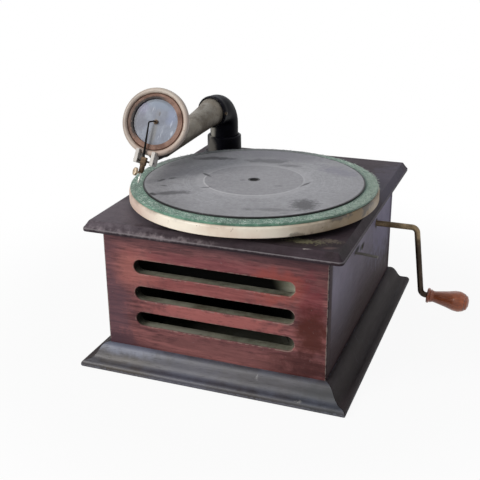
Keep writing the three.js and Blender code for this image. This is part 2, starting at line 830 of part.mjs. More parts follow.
function buildSoundBox(parent) {
  const soundBox = new THREE.Group();
  soundBox.position.copy(soundBoxCentre);
  soundBox.rotation.copy(soundBoxEuler);
  parent.add(soundBox);
  // Turned pieces are drawn with their axis along Z and then laid so that +Z faces -Y.
  const laid = (geometry) => geometry.rotateX(Math.PI / 2);
  const face = -stylusStandOff;
  const ringBack = face - ringDepth;
  const back = face - soundBoxDepth;
  const openRadius = soundBoxRadius - ringLip;
  const diaphragmFace = face - diaphragmRecess;
  const diaphragmBack = diaphragmFace - diaphragmThickness;
  const bodyRadius = soundBoxRadius - bodyInset;
  const boreRadius = goosePipeRadius - tubeWall;

  const body = laid(turned([
    [boreRadius, back],
    [0.5 * bodyRadius, back],
    [0.86 * bodyRadius, back + 1.8],
    [bodyRadius, back + 4],
    [bodyRadius, ringBack - clearance],
    [openRadius - 1, ringBack - clearance],
    [openRadius - 4, ringBack - 3],
    [boreRadius, ringBack - 4],
  ]));
  piece(soundBox, "soundbox_body", body, tarnishedNickel);

  // The front of the ring is a round bead, half an ellipse across its lip.
  const beadSteps = 6;
  const bead = Array.from({ length: beadSteps + 1 }, (_, i) => {
    const angle = (Math.PI * i) / beadSteps;
    const middle = soundBoxRadius - ringLip / 2;
    return [middle - (ringLip / 2) * Math.cos(angle), face - ringBead * (1 - Math.sin(angle))];
  });
  const ring = turned([...bead, [soundBoxRadius, ringBack], [openRadius, ringBack]], 36);
  piece(soundBox, "soundbox_ring", fuse(laid(ring), lug(-1), lug(1)), creamPaint);

  const gasketOuter = openRadius - clearance;
  const gasket = laid(turned([
    [gasketOuter - gasketWidth, diaphragmFace + clearance],
    [gasketOuter, diaphragmFace + clearance],
    [gasketOuter, face - 1.2],
    [gasketOuter - 0.8, face - 0.9],
    [gasketOuter - gasketWidth + 0.6, face - 1.2],
    [gasketOuter - gasketWidth, face - 1.6],
  ]));
  piece(soundBox, "soundbox_gasket", gasket, copperGasket);
  piece(soundBox, "diaphragm", laid(rod(gasketOuter, diaphragmBack, diaphragmFace, roundSides)), mica);

  buildStylus(soundBox, diaphragmFace);
}

const lugThickness = 3;
const lugDepth = 11;
const bodyInset = 1.6; // the body's edge inside the ring's
const lugReach = stylusPivotReach + 2.4;
const pivotPinRadius = 0.8;

// The two lugs under the ring that hold the needle bar's pivot pin.
function lug(side) {
  const root = Math.sqrt((soundBoxRadius - 0.8) ** 2 - (lugSpacing / 2) ** 2);
  const x0 = (side * lugSpacing) / 2 - lugThickness / 2;
  const behindRing = stylusStandOff + ringDepth;
  const underBody = -(soundBoxRadius - bodyInset + clearance);
  const outline = new THREE.Shape();
  outline.moveTo(-0.6, -root + 2);
  outline.lineTo(behindRing, -root + 2);
  outline.lineTo(behindRing, underBody);
  outline.lineTo(lugDepth, underBody);
  outline.lineTo(lugDepth, -lugReach);
  outline.lineTo(-0.6, -lugReach);
  const plate = prism(outline, lugThickness, 1).applyMatrix4(uprightPlane).translate(x0, 0, 0);
  const hole = rod(pivotPinRadius + clearance, -lugSpacing, lugSpacing, 12)
    .rotateY(Math.PI / 2)
    .translate(0, stylusStandOff / 2, -stylusPivotReach);
  return cut(plate, hole);
}

function buildStylus(parent, diaphragmFace) {
  const pivotY = stylusStandOff / 2;
  const footY = -diaphragmFace - 0.5;
  const jog = 3.6;
  const places = bentPath([
    [point(0.4, footY, 0), 1],
    [point(0.4, 0.2, 0), 1],
    [point(-jog, -0.4, -1.6), 1.2],
    [point(-1.2, pivotY, -stylusPivotReach + 4), 1],
    [point(0, pivotY, -stylusPivotReach - 6), 0],
  ], 3);
  const bar = barThrough(places, 0.9, 8);
  const foot = rod(1.7, 0, 0.6, 12).rotateX(Math.PI / 2).translate(0.4, footY, 0);
  const block = box(-2.2, 2.2, pivotY - 2.2, pivotY + 2.2, -stylusPivotReach - 3.6, -stylusPivotReach + 3.2);
  const holder = rod(2.1, -needleReach + 9, -stylusPivotReach - 3, 14).translate(0, pivotY, 0);
  const pinHole = rod(pivotPinRadius + clearance, -lugSpacing, lugSpacing, 12)
    .rotateY(Math.PI / 2)
    .translate(0, pivotY, -stylusPivotReach);
  const needleHole = rod(needleRadius + clearance, -needleReach, -stylusPivotReach - 8, 10);
  needleHole.translate(0, pivotY, 0);
  const screwHole = laidScrew(rod(1 + clearance, 0.6, 12, 10));
  const whole = cut(fuse(bar, foot, block, holder), pinHole, needleHole, screwHole);
  piece(parent, "stylus_bar", whole, darkSteel);

  const pinHalf = lugSpacing / 2 + lugThickness / 2;
  const pin = rod(pivotPinRadius, -pinHalf, pinHalf, 12).rotateY(Math.PI / 2);
  piece(parent, "stylus_pivot_pin", pin.translate(0, pivotY, -stylusPivotReach), darkSteel);

  const needle = turned([
    [0, -needleReach],
    [needleRadius, -needleReach + 4.5],
    [needleRadius, -stylusPivotReach - 8.5],
    [0, -stylusPivotReach - 8.5],
  ], 10).translate(0, pivotY, 0);
  piece(parent, "needle", needle, brightSteel);

  const screw = turned([
    [0, needleRadius + clearance],
    [1, needleRadius + clearance],
    [1, 3.4],
    [3, 3.4],
    [3.2, 4],
    [3.2, 5.4],
    [2.7, 5.9],
    [0, 5.9],
  ], 20);
  piece(parent, "needle_screw", laidScrew(screw), brightSteel);
}

const needleRadius = 0.75;
const needleScrewYaw = 50; // degrees, from straight ahead to the left
const needleScrewDrop = 9.6; // below the pivot pin

// Puts a screw drawn along +Z into the needle holder's side.
function laidScrew(geometry) {
  return geometry
    .rotateX(Math.PI / 2)
    .rotateZ(radians(-needleScrewYaw))
    .translate(0, stylusStandOff / 2, -stylusPivotReach - needleScrewDrop);
}

// ---------------------------------------------------------------- turntable

const trainPinionRadius = (pinionTeeth * trainModule) / 2;
const trainWheelRadius = (trainTeeth * trainModule) / 2;
const greatPinionRadius = (pinionTeeth * greatModule) / 2;
const greatWheelRadius = (greatTeeth * greatModule) / 2;
const greatWheelZ = motorFloor + 2;
const trainWheelZ = motorCeiling - 12;
const wormHelixAngle = radians(wormHelix);
const wormRadius = (wormStarts * wormModule) / (2 * Math.cos(wormHelixAngle));
const wormWheelRadius = (wormWheelTeeth * wormModule) / (2 * Math.sin(wormHelixAngle));
const governorY = spindleY - wormRadius - wormWheelRadius;

// The layshaft stands where both pairs of wheels mesh.
function layshaftPlace() {
  const toSpindle = new THREE.Vector2(spindleX - arborX, spindleY - crankY);
  const span = toSpindle.length();
  const first = greatWheelRadius + greatPinionRadius;
  const second = trainWheelRadius + trainPinionRadius;
  const along = (first ** 2 - second ** 2 + span ** 2) / (2 * span);
  const aside = Math.sqrt(first ** 2 - along ** 2);
  const ahead = toSpindle.normalize();
  return new THREE.Vector2(
    arborX + ahead.x * along + ahead.y * aside,
    crankY + ahead.y * along - ahead.x * aside,
  );
}

const layshaft = layshaftPlace();
const barrelToLayshaft = Math.atan2(layshaft.y - crankY, layshaft.x - arborX);
const layshaftToSpindle = Math.atan2(spindleY - layshaft.y, spindleX - layshaft.x);
const greatPhase = barrelToLayshaft;
const layPinionPhase = meshingPhase(barrelToLayshaft, greatPhase, greatTeeth, pinionTeeth);
const trainPhase = layshaftToSpindle;
const spindlePinionPhase = meshingPhase(layshaftToSpindle, trainPhase, trainTeeth, pinionTeeth);

function buildTurntable(parent) {
  const group = groupAt(parent, spindleX, spindleY, 0);
  const sheet = platterSheet;
  const inner = platterRadius - sheet;
  const hubRadius = 9;
  const hubBottom = rimBottom - 1;
  const platter = turned([
    [spindleRadius + clearance, hubBottom],
    [hubRadius, hubBottom],
    [hubRadius + 2, platterTop - sheet],
    [inner - 1.6, platterTop - sheet],
    [inner, platterTop - sheet - 1.6],
    [inner, rimBottom],
    [platterRadius - 0.5, rimBottom],
    [platterRadius, rimBottom + 0.6],
    [platterRadius, platterTop - 1.6],
    [platterRadius - 1.6, platterTop],
    [spindleRadius + clearance, platterTop],
  ], discSides);
  piece(group, "platter", platter, creamPaint);
  const felt = turned([
    [spindleRadius + 2, platterTop + clearance / 3],
    [feltRadius - 1.2, platterTop + clearance / 3],
    [feltRadius, platterTop + 0.5 * feltThickness],
    [feltRadius - 0.8, feltTop],
    [spindleRadius + 2, feltTop],
  ], discSides);
  piece(group, "felt_mat", felt, greenFelt);
  const recordBottom = feltTop + clearance / 3;
  const record = turned([
    [recordHoleRadius, recordBottom],
    [recordRadius - 0.6, recordBottom],
    [recordRadius, recordBottom + 0.5],
    [recordRadius, recordTop - 0.5],
    [recordRadius - 0.6, recordTop - 0.1],
    [labelRadius + 0.6, recordTop - labelRise],
    [labelRadius, recordTop],
    [recordHoleRadius, recordTop],
  ], discSides);
  piece(group, "record", record, shellac);

  const shaft = turned([
    [0, motorBottom],
    [spindleRadius, motorBottom],
    [spindleRadius, recordTop - 1.6],
    [spindleRadius - 0.7, recordTop - 0.5],
    [0, recordTop - 0.4],
  ], 16);
  const pinion = spurGear(pinionTeeth, trainModule, pinionWidth, 0, spindlePinionPhase);
  pinion.translate(0, 0, trainWheelZ - (pinionWidth - wheelWidth) / 2);
  piece(group, "spindle", fuse(shaft, pinion), brightSteel);

  const wheelTwist = Math.tan(Math.PI / 2 - wormHelixAngle) / wormWheelRadius;
  const wheel = helicalGear(
    wormWheelTeeth,
    wormWheelRadius,
    wormModule,
    wormWheelWidth,
    wheelTwist,
    -Math.PI / 2,
    1,
  );
  const bored = cut(wheel, rod(spindleRadius + clearance, -wormWheelWidth, wormWheelWidth, 16));
  piece(group, "worm_wheel", bored.translate(0, 0, governorHeight), brass);
}

// ---------------------------------------------------------------- motor frame

function motorPlate() {
  const shape = roundedRectangle(motorLeft, motorRight, motorFront, motorBack, 8);
  shape.holes.push(circlePath(spindleX, spindleY, spindleRadius + clearance));
  shape.holes.push(circlePath(arborX, crankY, arborRadius + clearance));
  shape.holes.push(circlePath(layshaft.x, layshaft.y, layshaftRadius + clearance));
  return prism(shape, motorPlateThickness, 5);
}

const pillarPlaces = [
  [motorLeft + pillarInset, motorFront + pillarInset],
  [motorRight - pillarInset, motorFront + pillarInset],
  [motorRight - pillarInset, motorBack - pillarInset],
  [motorLeft + pillarInset, motorBack - pillarInset],
];

function buildMotorFrame(parent) {
  const upper = motorPlate();
  piece(parent, "motor_top_plate", upper.translate(0, 0, motorCeiling), brightSteel);
  piece(parent, "motor_bottom_plate", motorPlate().translate(0, 0, motorBottom), brightSteel);
  pillarPlaces.forEach(([x, y], i) => {
    const pillar = turned([
      [0, motorFloor + clearance],
      [pillarFootRadius, motorFloor + clearance],
      [pillarFootRadius, motorFloor + 3],
      [pillarRadius, motorFloor + 4],
      [pillarRadius, motorCeiling - 4],
      [pillarFootRadius, motorCeiling - 3],
      [pillarFootRadius, motorCeiling - clearance],
      [0, motorCeiling - clearance],
    ], 8);
    piece(parent, `motor_pillar_${i + 1}`, pillar.translate(x, y, 0), brass);
  });
  const mounts = [pillarPlaces[0], pillarPlaces[1], [arborX, motorBack - pillarInset]];
  mounts.forEach(([x, y], i) => {
    const bush = turned([
      [0, motorTop + clearance],
      [mountRadius, motorTop + clearance],
      [mountRadius + mountBulge, (motorTop + boardUnderside) / 2],
      [mountRadius, boardUnderside - clearance],
      [0, boardUnderside - clearance],
    ], 12);
    piece(parent, `motor_mount_${i + 1}`, bush.translate(x, y, 0), rubber);
  });
}

// ---------------------------------------------------------------- barrel, spring and layshaft

function buildBarrel(parent) {
  const group = groupAt(parent, arborX, crankY, 0);
  const floor = greatWheelZ + wheelWidth;
  const top = floor + barrelHeight;
  const bore = arborRadius + clearance;
  const drum = turned([
    [bore, greatWheelZ],
    [barrelRadius, greatWheelZ],
    [barrelRadius, top],
    [bore, top],
    [bore, top - barrelWall],
    [barrelRadius - barrelWall, top - barrelWall],
    [barrelRadius - barrelWall, floor],
    [bore, floor],
  ]);
  const teeth = spurGear(greatTeeth, greatModule, wheelWidth, barrelRadius - 1, greatPhase);
  piece(group, "mainspring_barrel", fuse(drum, teeth.translate(0, 0, greatWheelZ)), brass);

  const strip = springShape(arborRadius + 1.2, barrelRadius - barrelWall - 0.8);
  const spring = prism(strip, barrelHeight - barrelWall - 3, 1).translate(0, 0, floor + 1.5);
  piece(group, "mainspring", spring, darkSteel);

  const arbor = rod(arborRadius, motorBottom, motorTop, 16);
  piece(group, "barrel_arbor", arbor, brightSteel);

  const crown = fuse(
    crownRing(crownTeeth, crownRadius - crownRim / 2, crownRadius + crownRim / 2, trainModule, -4),
    turned([
      [arborRadius + clearance, -4],
      [crownRadius - crownRim / 2 + 0.5, -4],
      [crownRadius - crownRim / 2 + 0.5, -2.5],
      [arborRadius + 3, -2.5],
      [arborRadius + 3, 3],
      [arborRadius + clearance, 3],
    ], 16),
  );
  piece(group, "crown_wheel", crown.translate(0, 0, crownPitchZ), brass);
}

const crownRadius = (crownTeeth * trainModule) / 2;
const crownPitchZ = crankZ - trainPinionRadius;

// A flat spiral strip from the arbor out to the drum.
function springShape(innerRadius, outerRadius) {
  const steps = springTurns * 12;
  const edge = (offset) =>
    Array.from({ length: steps + 1 }, (_, i) => {
      const radius = innerRadius + ((outerRadius - innerRadius) * i) / steps + offset;
      const angle = (2 * Math.PI * springTurns * i) / steps;
      return new THREE.Vector2(radius * Math.cos(angle), radius * Math.sin(angle));
    });
  return new THREE.Shape([...edge(springStrip / 2), ...edge(-springStrip / 2).reverse()]);
}

function buildLayshaft(parent) {
  const group = groupAt(parent, layshaft.x, layshaft.y, 0);
  const pinion = spurGear(pinionTeeth, greatModule, pinionWidth, 0, layPinionPhase);
  const pinionZ = greatWheelZ - (pinionWidth - wheelWidth) / 2;
  const shaft = rod(layshaftRadius, motorBottom, motorTop, 12);
  piece(group, "layshaft", fuse(shaft, pinion.translate(0, 0, pinionZ)), brightSteel);
  const wheel = spurGear(trainTeeth, trainModule, wheelWidth, layshaftRadius + clearance, trainPhase);
  piece(group, "layshaft_wheel", wheel.translate(0, 0, trainWheelZ), brass);
}

// ---------------------------------------------------------------- governor

const bracketThickness = 2;
const governorLeft = -26;
const governorRight = 55;

function buildGovernor(parent) {
  const group = groupAt(parent, 0, governorY, governorHeight);
  const alongX = (geometry) => geometry.rotateY(Math.PI / 2);
  const shaft = alongX(rod(governorRodRadius, governorLeft, governorRight, 12));
  const wormTwist = Math.tan(wormHelixAngle) / wormRadius;
  const worm = helicalGear(wormStarts, wormRadius, wormModule, wormLength, wormTwist, wormPhase, 14);
  const collar = alongX(rod(4, governorCollarX - 2, governorCollarX + 2, 14));
  const placedWorm = alongX(worm).translate(spindleX, 0, 0);
  piece(group, "governor_shaft", fuse(shaft, placedWorm, collar), brightSteel);

  const disc = turned([
    [governorRodRadius + clearance, -4],
    [4, -4],
    [4, -governorDiscThickness],
    [governorDiscRadius, -governorDiscThickness],
    [governorDiscRadius, 0],
    [governorRodRadius + clearance, 0],
  ], 28);
  piece(group, "governor_disc", alongX(disc).translate(governorDiscX, 0, 0), brass);

  for (let i = 0; i < governorWeights; i += 1) {
    const arm = new THREE.Group();
    arm.rotation.x = (2 * Math.PI * i) / governorWeights + Math.PI / 2;
    group.add(arm);
    piece(arm, `governor_weight_${i + 1}`, governorWeight(), darkSteel);
  }
}

const wormPhase = Math.PI / 4;

// A leaf spring from the collar to the disc's boss, bowed out by the lead weight at its middle.
function governorWeight() {
  const start = governorCollarX - 2;
  const end = governorDiscX - governorDiscThickness - clearance;
  const foot = 4 + clearance;
  const bow = 2.6;
  const leaf = new THREE.Shape();
  const steps = 8;
  const curve = (offset) => (_, i) => {
    const t = i / steps;
    return new THREE.Vector2(start + (end - start) * t, foot + offset + bow * Math.sin(Math.PI * t));
  };
  const lower = Array.from({ length: steps + 1 }, curve(0));
  const upper = Array.from({ length: steps + 1 }, curve(0.5)).reverse();
  leaf.setFromPoints([...lower, ...upper]);
  // Shape x runs along the shaft, shape y out from it.
  const strip = prism(leaf, 3, 1).translate(0, 0, -1.5);
  const weight = rod(governorWeightRadius, 0, 3.6, 14)
    .rotateX(-Math.PI / 2)
    .translate((start + end) / 2, foot + bow + 0.2, 0);
  return fuse(strip, weight);
}

function buildGovernorBrackets(parent) {
  const shape = new THREE.Shape();
  const half = 5;
  const bottom = governorHeight - 6;
  shape.moveTo(-half, motorCeiling - clearance);
  shape.lineTo(-half, bottom + 3);
  shape.lineTo(-half + 3, bottom);
  shape.lineTo(half - 3, bottom);
  shape.lineTo(half, bottom + 3);
  shape.lineTo(half, motorCeiling - clearance);
  shape.holes.push(circlePath(0, governorHeight, governorRodRadius + clearance));
  const bracket = () => prism(shape, bracketThickness, 6).applyMatrix4(uprightPlane);
  const left = bracket().translate(governorLeft + 1, governorY, 0);
  const right = bracket().translate(governorRight - 1 - bracketThickness, governorY, 0);
  piece(parent, "governor_bracket_left", left, brightSteel);
  piece(parent, "governor_bracket_right", right, brightSteel);
}

// ---------------------------------------------------------------- crank

function buildCrank(parent) {
  const group = groupAt(parent, 0, crankY, crankZ);
  const innerEnd = arborX + crownRadius - crownRim / 2 - 2;
  const lean = radians(crankArmLean);
  const dip = radians(handleDip);
  const elbow = point(crankBendX, 0, 0);
  const foot = point(crankBendX + crankThrow * Math.tan(lean), 0, -crankThrow);
  const along = point(Math.cos(dip), 0, -Math.sin(dip));
  const pinEnd = foot.clone().addScaledVector(along, handleStart + handleLength - 4);
  const places = bentPath([
    [point(innerEnd, 0, 0), 0],
    [elbow, crankBendRadius],
    [foot, crankBendRadius],
    [pinEnd, 0],
  ], 6);
  piece(group, "crank_rod", barThrough(places, crankRodRadius, 12), crankSteel);

  const pinion = spurGear(pinionTeeth, trainModule, crownRim, crankRodRadius + clearance, pinionGapPhase);
  pinion.translate(0, 0, -crownRim / 2).rotateY(Math.PI / 2);
  piece(group, "crank_pinion", pinion.translate(arborX + crownRadius, 0, 0), brass);

  const grip = new THREE.Group();
  grip.position.copy(foot);
  grip.rotation.y = dip;
  group.add(grip);
  piece(grip, "crank_handle", handleGeometry(), turnedWood);
}

const handleStart = 5.4; // flange in front of the bend's corner
const pinionGapPhase = Math.PI / pinionTeeth;

function handleGeometry() {
  const bore = crankRodRadius + clearance;
  const bulb = new THREE.SplineCurve([
    new THREE.Vector2(handleNeckRadius, 2.8),
    new THREE.Vector2(handleNeckRadius + 0.6, 7),
    new THREE.Vector2(0.8 * handleBulge, 17),
    new THREE.Vector2(handleBulge, 27),
    new THREE.Vector2(0.82 * handleBulge, 33),
    new THREE.Vector2(0.42 * handleBulge, handleLength - 0.4),
  ]);
  const profile = [
    [0, handleLength - 3],
    [bore, handleLength - 3],
    [bore, 0],
    [handleFlangeRadius - 0.4, 0],
    [handleFlangeRadius, 1],
    [handleFlangeRadius - 0.7, 2.2],
    ...bulb.getPoints(7).map((p) => [p.x, p.y]),
    [0, handleLength],
  ];
  return turned(profile, 18).rotateY(Math.PI / 2).translate(handleStart, 0, 0);
}

// ---------------------------------------------------------------- side controls

const brakeHookX = governorDiscX + 4.5;
const brakePadY = governorY - 7;
const hookThickness = 2;

// The start and stop rod: a wire through the side, with a hook plate whose pad meets the disc.
function buildBrake(parent) {
  const outerX = halfWidth + brakeRodReach;
  const places = bentPath([
    [point(brakeHookX, brakeRodY, brakeRodZ), 0],
    [point(halfWidth + 5, brakeRodY, brakeRodZ), 6],
    [point(outerX, brakeRodY - 0.4, brakeRodZ - 0.9), 0],
  ], 3);
  const wire = barThrough(places, brakeRodRadius, 10);
  const half = 3;
  const shape = new THREE.Shape();
  shape.moveTo(brakeRodY + half, brakeRodZ - half);
  shape.lineTo(brakeRodY + half, brakeRodZ + half);
  shape.lineTo(brakePadY - half, brakeRodZ + half);
  shape.lineTo(brakePadY - half, governorHeight + 2);
  shape.lineTo(brakePadY + half, governorHeight + 2);
  shape.lineTo(brakePadY + half, brakeRodZ - half);
  const hook = prism(shape, hookThickness, 1).applyMatrix4(uprightPlane).translate(brakeHookX, 0, 0);
  const padDepth = brakeHookX - governorDiscX - brakeTravel - clearance;
  const pad = box(
    brakeHookX - padDepth,
    brakeHookX + 0.5,
    brakePadY - half + 0.5,
    brakePadY + half - 0.5,
    governorHeight + 2.5,
    governorHeight + 8,
  );
  piece(parent, "brake_rod", fuse(wire, hook, pad), darkSteel);
}

const regulatorPivotX = 54;
const regulatorDrop = 6.5; // lever below the speed screw's axis
const regulatorPivotY = speedHoleY - 13;
const regulatorZ = speedHoleZ - regulatorDrop;
const regulatorThickness = 1.6;

// The speed screw sits in the side hole and pushes a lever whose pad rubs the governor disc.
function buildRegulator(parent) {
  const tipX = regulatorPivotX + 7;
  const screw = turned([
    [0, tipX],
    [speedScrewRadius, tipX + 1],
    [speedScrewRadius, halfWidth - 3.5],
    [0, halfWidth - 3.5],
  ], 14).rotateY(Math.PI / 2).translate(0, speedHoleY, speedHoleZ);
  piece(parent, "speed_screw", screw, brass);

  const lever = new THREE.Shape();
  lever.moveTo(tipX - 2.2, speedHoleY + 3);
  lever.lineTo(tipX - clearance, speedHoleY + 3);
  lever.lineTo(tipX - clearance, speedHoleY - 3);
  lever.lineTo(regulatorPivotX + 3.5, regulatorPivotY - 0.8);
  lever.lineTo(governorDiscX + 3.2, governorY + 9);
  lever.lineTo(governorDiscX + 1.2, governorY + 9);
  lever.lineTo(governorDiscX + 1.2, governorY + 13);
  lever.lineTo(regulatorPivotX - 4, regulatorPivotY + 2);
  const bar = prism(lever, regulatorThickness).translate(0, 0, regulatorZ);
  const hole = rod(1.2 + clearance, regulatorZ - 1, regulatorZ + 4, 12);
  hole.translate(regulatorPivotX, regulatorPivotY, 0);
  const tab = box(
    tipX - 2.2,
    tipX - clearance,
    speedHoleY - 3,
    speedHoleY + 3,
    regulatorZ,
    speedHoleZ + speedScrewRadius + 1,
  );
  piece(parent, "regulator_lever", cut(fuse(bar, tab), hole), darkSteel);
  const pin = rod(1.2, regulatorZ - 2, motorCeiling - clearance, 10);
  piece(parent, "regulator_pin", pin.translate(regulatorPivotX, regulatorPivotY, 0), brightSteel);
}

// ---------------------------------------------------------------- assembly

buildPlinth(gramophone);
buildWalls(gramophone);
buildTopBoard(gramophone);
buildHorn(gramophone);
buildBracket(gramophone);
buildElbow(gramophone);
buildTube(gramophone);
buildGooseneck(gramophone);
buildSoundBox(gramophone);
buildTurntable(gramophone);
buildMotorFrame(gramophone);
buildBarrel(gramophone);
buildLayshaft(gramophone);
buildGovernor(gramophone);
buildGovernorBrackets(gramophone);
buildCrank(gramophone);
buildBrake(gramophone);
buildRegulator(gramophone);

export default gramophone;
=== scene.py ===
import json
import math

import bmesh
import bpy
import numpy as np
from mathutils import Matrix, Vector


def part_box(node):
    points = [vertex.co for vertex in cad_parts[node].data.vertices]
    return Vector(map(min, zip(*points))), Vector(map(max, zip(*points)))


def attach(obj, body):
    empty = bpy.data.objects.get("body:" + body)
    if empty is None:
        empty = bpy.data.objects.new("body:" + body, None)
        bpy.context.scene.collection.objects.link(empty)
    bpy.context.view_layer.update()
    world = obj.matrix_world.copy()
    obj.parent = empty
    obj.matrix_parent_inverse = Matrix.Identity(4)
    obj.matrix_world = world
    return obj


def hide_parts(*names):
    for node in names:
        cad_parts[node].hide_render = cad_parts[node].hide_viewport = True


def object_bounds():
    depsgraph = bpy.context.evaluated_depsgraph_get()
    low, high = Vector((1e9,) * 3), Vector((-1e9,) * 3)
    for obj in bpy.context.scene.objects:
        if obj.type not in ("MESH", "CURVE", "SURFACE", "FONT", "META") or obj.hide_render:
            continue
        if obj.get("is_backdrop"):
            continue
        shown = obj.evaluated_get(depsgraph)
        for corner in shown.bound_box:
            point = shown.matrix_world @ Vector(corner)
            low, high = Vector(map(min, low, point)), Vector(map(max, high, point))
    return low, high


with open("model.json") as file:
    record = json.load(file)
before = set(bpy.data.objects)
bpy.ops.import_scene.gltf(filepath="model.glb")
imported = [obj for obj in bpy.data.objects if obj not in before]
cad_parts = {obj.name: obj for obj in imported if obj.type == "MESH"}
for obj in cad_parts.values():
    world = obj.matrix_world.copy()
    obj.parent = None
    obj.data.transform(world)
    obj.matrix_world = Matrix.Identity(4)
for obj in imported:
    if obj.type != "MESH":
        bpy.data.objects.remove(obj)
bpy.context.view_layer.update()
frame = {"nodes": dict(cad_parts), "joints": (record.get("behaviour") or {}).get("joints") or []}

# A table gramophone: mahogany box, green felt on a cream platter, dusty record, black arm, crank.
# Lengths are millimetres unless a note says otherwise; mm turns them into metres.
mm = 0.001
joints = {joint["name"]: joint for joint in frame["joints"]}


def nodeBox(node):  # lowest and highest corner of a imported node, millimetres
    low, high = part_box(node)
    return np.array(low) / mm, np.array(high) / mm


def jointPlace(name):  # a joint's point and unit axis, millimetres
    joint = joints[name]
    axis = np.array(joint["axis"], float)
    return np.array(joint["pos_m"], float) / mm, axis / np.linalg.norm(axis)


def unit(vector):
    return np.asarray(vector, float) / np.linalg.norm(vector)


cameraSetup = {
    "place": (0.22517, -0.63727, 0.34316),  # metres
    "azimuth": 21.0,
    "elevation": 21.5,
    "roll": -0.44,
    "lens": 63.16,
}


def aimedMatrix(place, azimuth, elevation, roll):
    # Right is forward cross up; right and up then turn by the roll about the line of sight.
    a, e, r = (math.radians(angle) for angle in (azimuth, elevation, roll))
    forward = np.array([-math.sin(a) * math.cos(e), math.cos(a) * math.cos(e), -math.sin(e)])
    right = unit(np.cross(forward, (0, 0, 1)))
    up = np.cross(right, forward)
    turnedRight = math.cos(r) * right + math.sin(r) * up
    turnedUp = math.cos(r) * up - math.sin(r) * right
    matrix = np.eye(4)
    matrix[:3, 0], matrix[:3, 1], matrix[:3, 2], matrix[:3, 3] = turnedRight, turnedUp, -forward, place
    return Matrix(matrix.tolist())


camera = bpy.data.objects.new("camera", bpy.data.cameras.new("camera"))
bpy.context.scene.collection.objects.link(camera)
camera.data.sensor_width = 36
camera.data.lens = cameraSetup["lens"]
camera.data.clip_start = 0.01
camera.matrix_world = aimedMatrix(*(cameraSetup[k] for k in ("place", "azimuth", "elevation", "roll")))
bpy.context.scene.camera = camera
bpy.context.scene.view_settings.view_transform = "Standard"

lamps = [
    {"name": "key", "place": (-0.85, -1.3, 0.95), "size": 0.9, "watts": 24, "colour": (1.0, 0.98, 0.95)},
    {"name": "window", "place": (1.25, 0.15, 1.0), "size": 0.9, "watts": 1.6, "colour": (0.82, 0.87, 1.0)},
    {"name": "behind", "place": (-0.4, 1.3, 1.1), "size": 1.0, "watts": 3.0, "colour": (0.88, 0.92, 1.0)},
]
lampTarget = Vector((0.0, 0.0, 0.1))
for lamp in lamps:
    light = bpy.data.lights.new(lamp["name"], "AREA")
    light.energy = lamp["watts"]
    light.size = lamp["size"]
    light.color = lamp["colour"]
    holder = bpy.data.objects.new(lamp["name"], light)
    holder.location = lamp["place"]
    holder.rotation_euler = (lampTarget - Vector(lamp["place"])).to_track_quat("-Z", "Y").to_euler()
    bpy.context.scene.collection.objects.link(holder)


def put(tree, kind, inputs=None, **settings):
    # A node with its settings; an input given as a socket is linked, anything else is its value.
    node = tree.nodes.new(kind)
    for key, value in settings.items():
        setattr(node, key, value)
    for key, value in (inputs or {}).items():
        if isinstance(value, bpy.types.NodeSocket):
            tree.links.new(value, node.inputs[key])
        else:
            node.inputs[key].default_value = value
    return node


def tone(red, green, blue):  # screen colour 0 to 255, made linear
    steps = np.array([red, green, blue]) / 255
    linear = np.where(steps <= 0.04045, steps / 12.92, ((steps + 0.055) / 1.055) ** 2.4)
    return (*linear.tolist(), 1.0)


def blendColours(tree, factor, first, second):
    return put(tree, "ShaderNodeMix", {0: factor, 6: first, 7: second}, data_type="RGBA").outputs[2]


def calc(tree, operation, first, second=0.0):
    return put(tree, "ShaderNodeMath", {0: first, 1: second}, operation=operation).outputs[0]


def times(tree, first, second):
    return calc(tree, "MULTIPLY", first, second)


def plus(tree, first, second):
    return calc(tree, "ADD", first, second)


def minus(tree, first, second):
    return calc(tree, "SUBTRACT", first, second)


def larger(tree, first, second):
    return calc(tree, "MAXIMUM", first, second)


def part(tree, vector, axis):  # one of a vector's three numbers
    return put(tree, "ShaderNodeSeparateXYZ", {0: vector}).outputs[axis]


def lengthOf(tree, vector):
    return put(tree, "ShaderNodeVectorMath", {0: vector}, operation="LENGTH").outputs["Value"]


def vectorMath(tree, operation, first, second):
    return put(tree, "ShaderNodeVectorMath", {0: first, 1: second}, operation=operation).outputs[0]


def spread(tree, value, fromLow, fromHigh, toLow=0.0, toHigh=1.0):
    # Runs from toLow to toHigh, easing at both ends, while the value runs from fromLow to fromHigh.
    inputs = {"Value": value, "From Min": fromLow, "From Max": fromHigh, "To Min": toLow, "To Max": toHigh}
    return put(tree, "ShaderNodeMapRange", inputs, interpolation_type="SMOOTHSTEP", clamp=True).outputs[0]


def cloud(tree, vector, scale, detail=3.0, roughness=0.55, distortion=0.0):
    inputs = {"Vector": vector, "Scale": scale, "Detail": detail, "Roughness": roughness}
    return put(tree, "ShaderNodeTexNoise", {**inputs, "Distortion": distortion}).outputs[0]


def mottle(tree, vector, noise, *limits):  # noise: scale, detail, roughness; limits as in spread
    return spread(tree, cloud(tree, vector, *noise), *limits)


def stretched(tree, vector, scale):
    return put(tree, "ShaderNodeMapping", {"Vector": vector, "Scale": scale}).outputs[0]


def attribute(tree, name, output):  # what makePiece or flattened keeps at each vertex
    return put(tree, "ShaderNodeAttribute", attribute_name=name).outputs[output]


def tint(tree, colour, over, mask, amount=None):
    # Lays the screen colour over where the mask is 1; amount is the share of the mask that shows.
    share = mask if amount is None else times(tree, mask, amount)
    return blendColours(tree, share, colour, tone(*over))


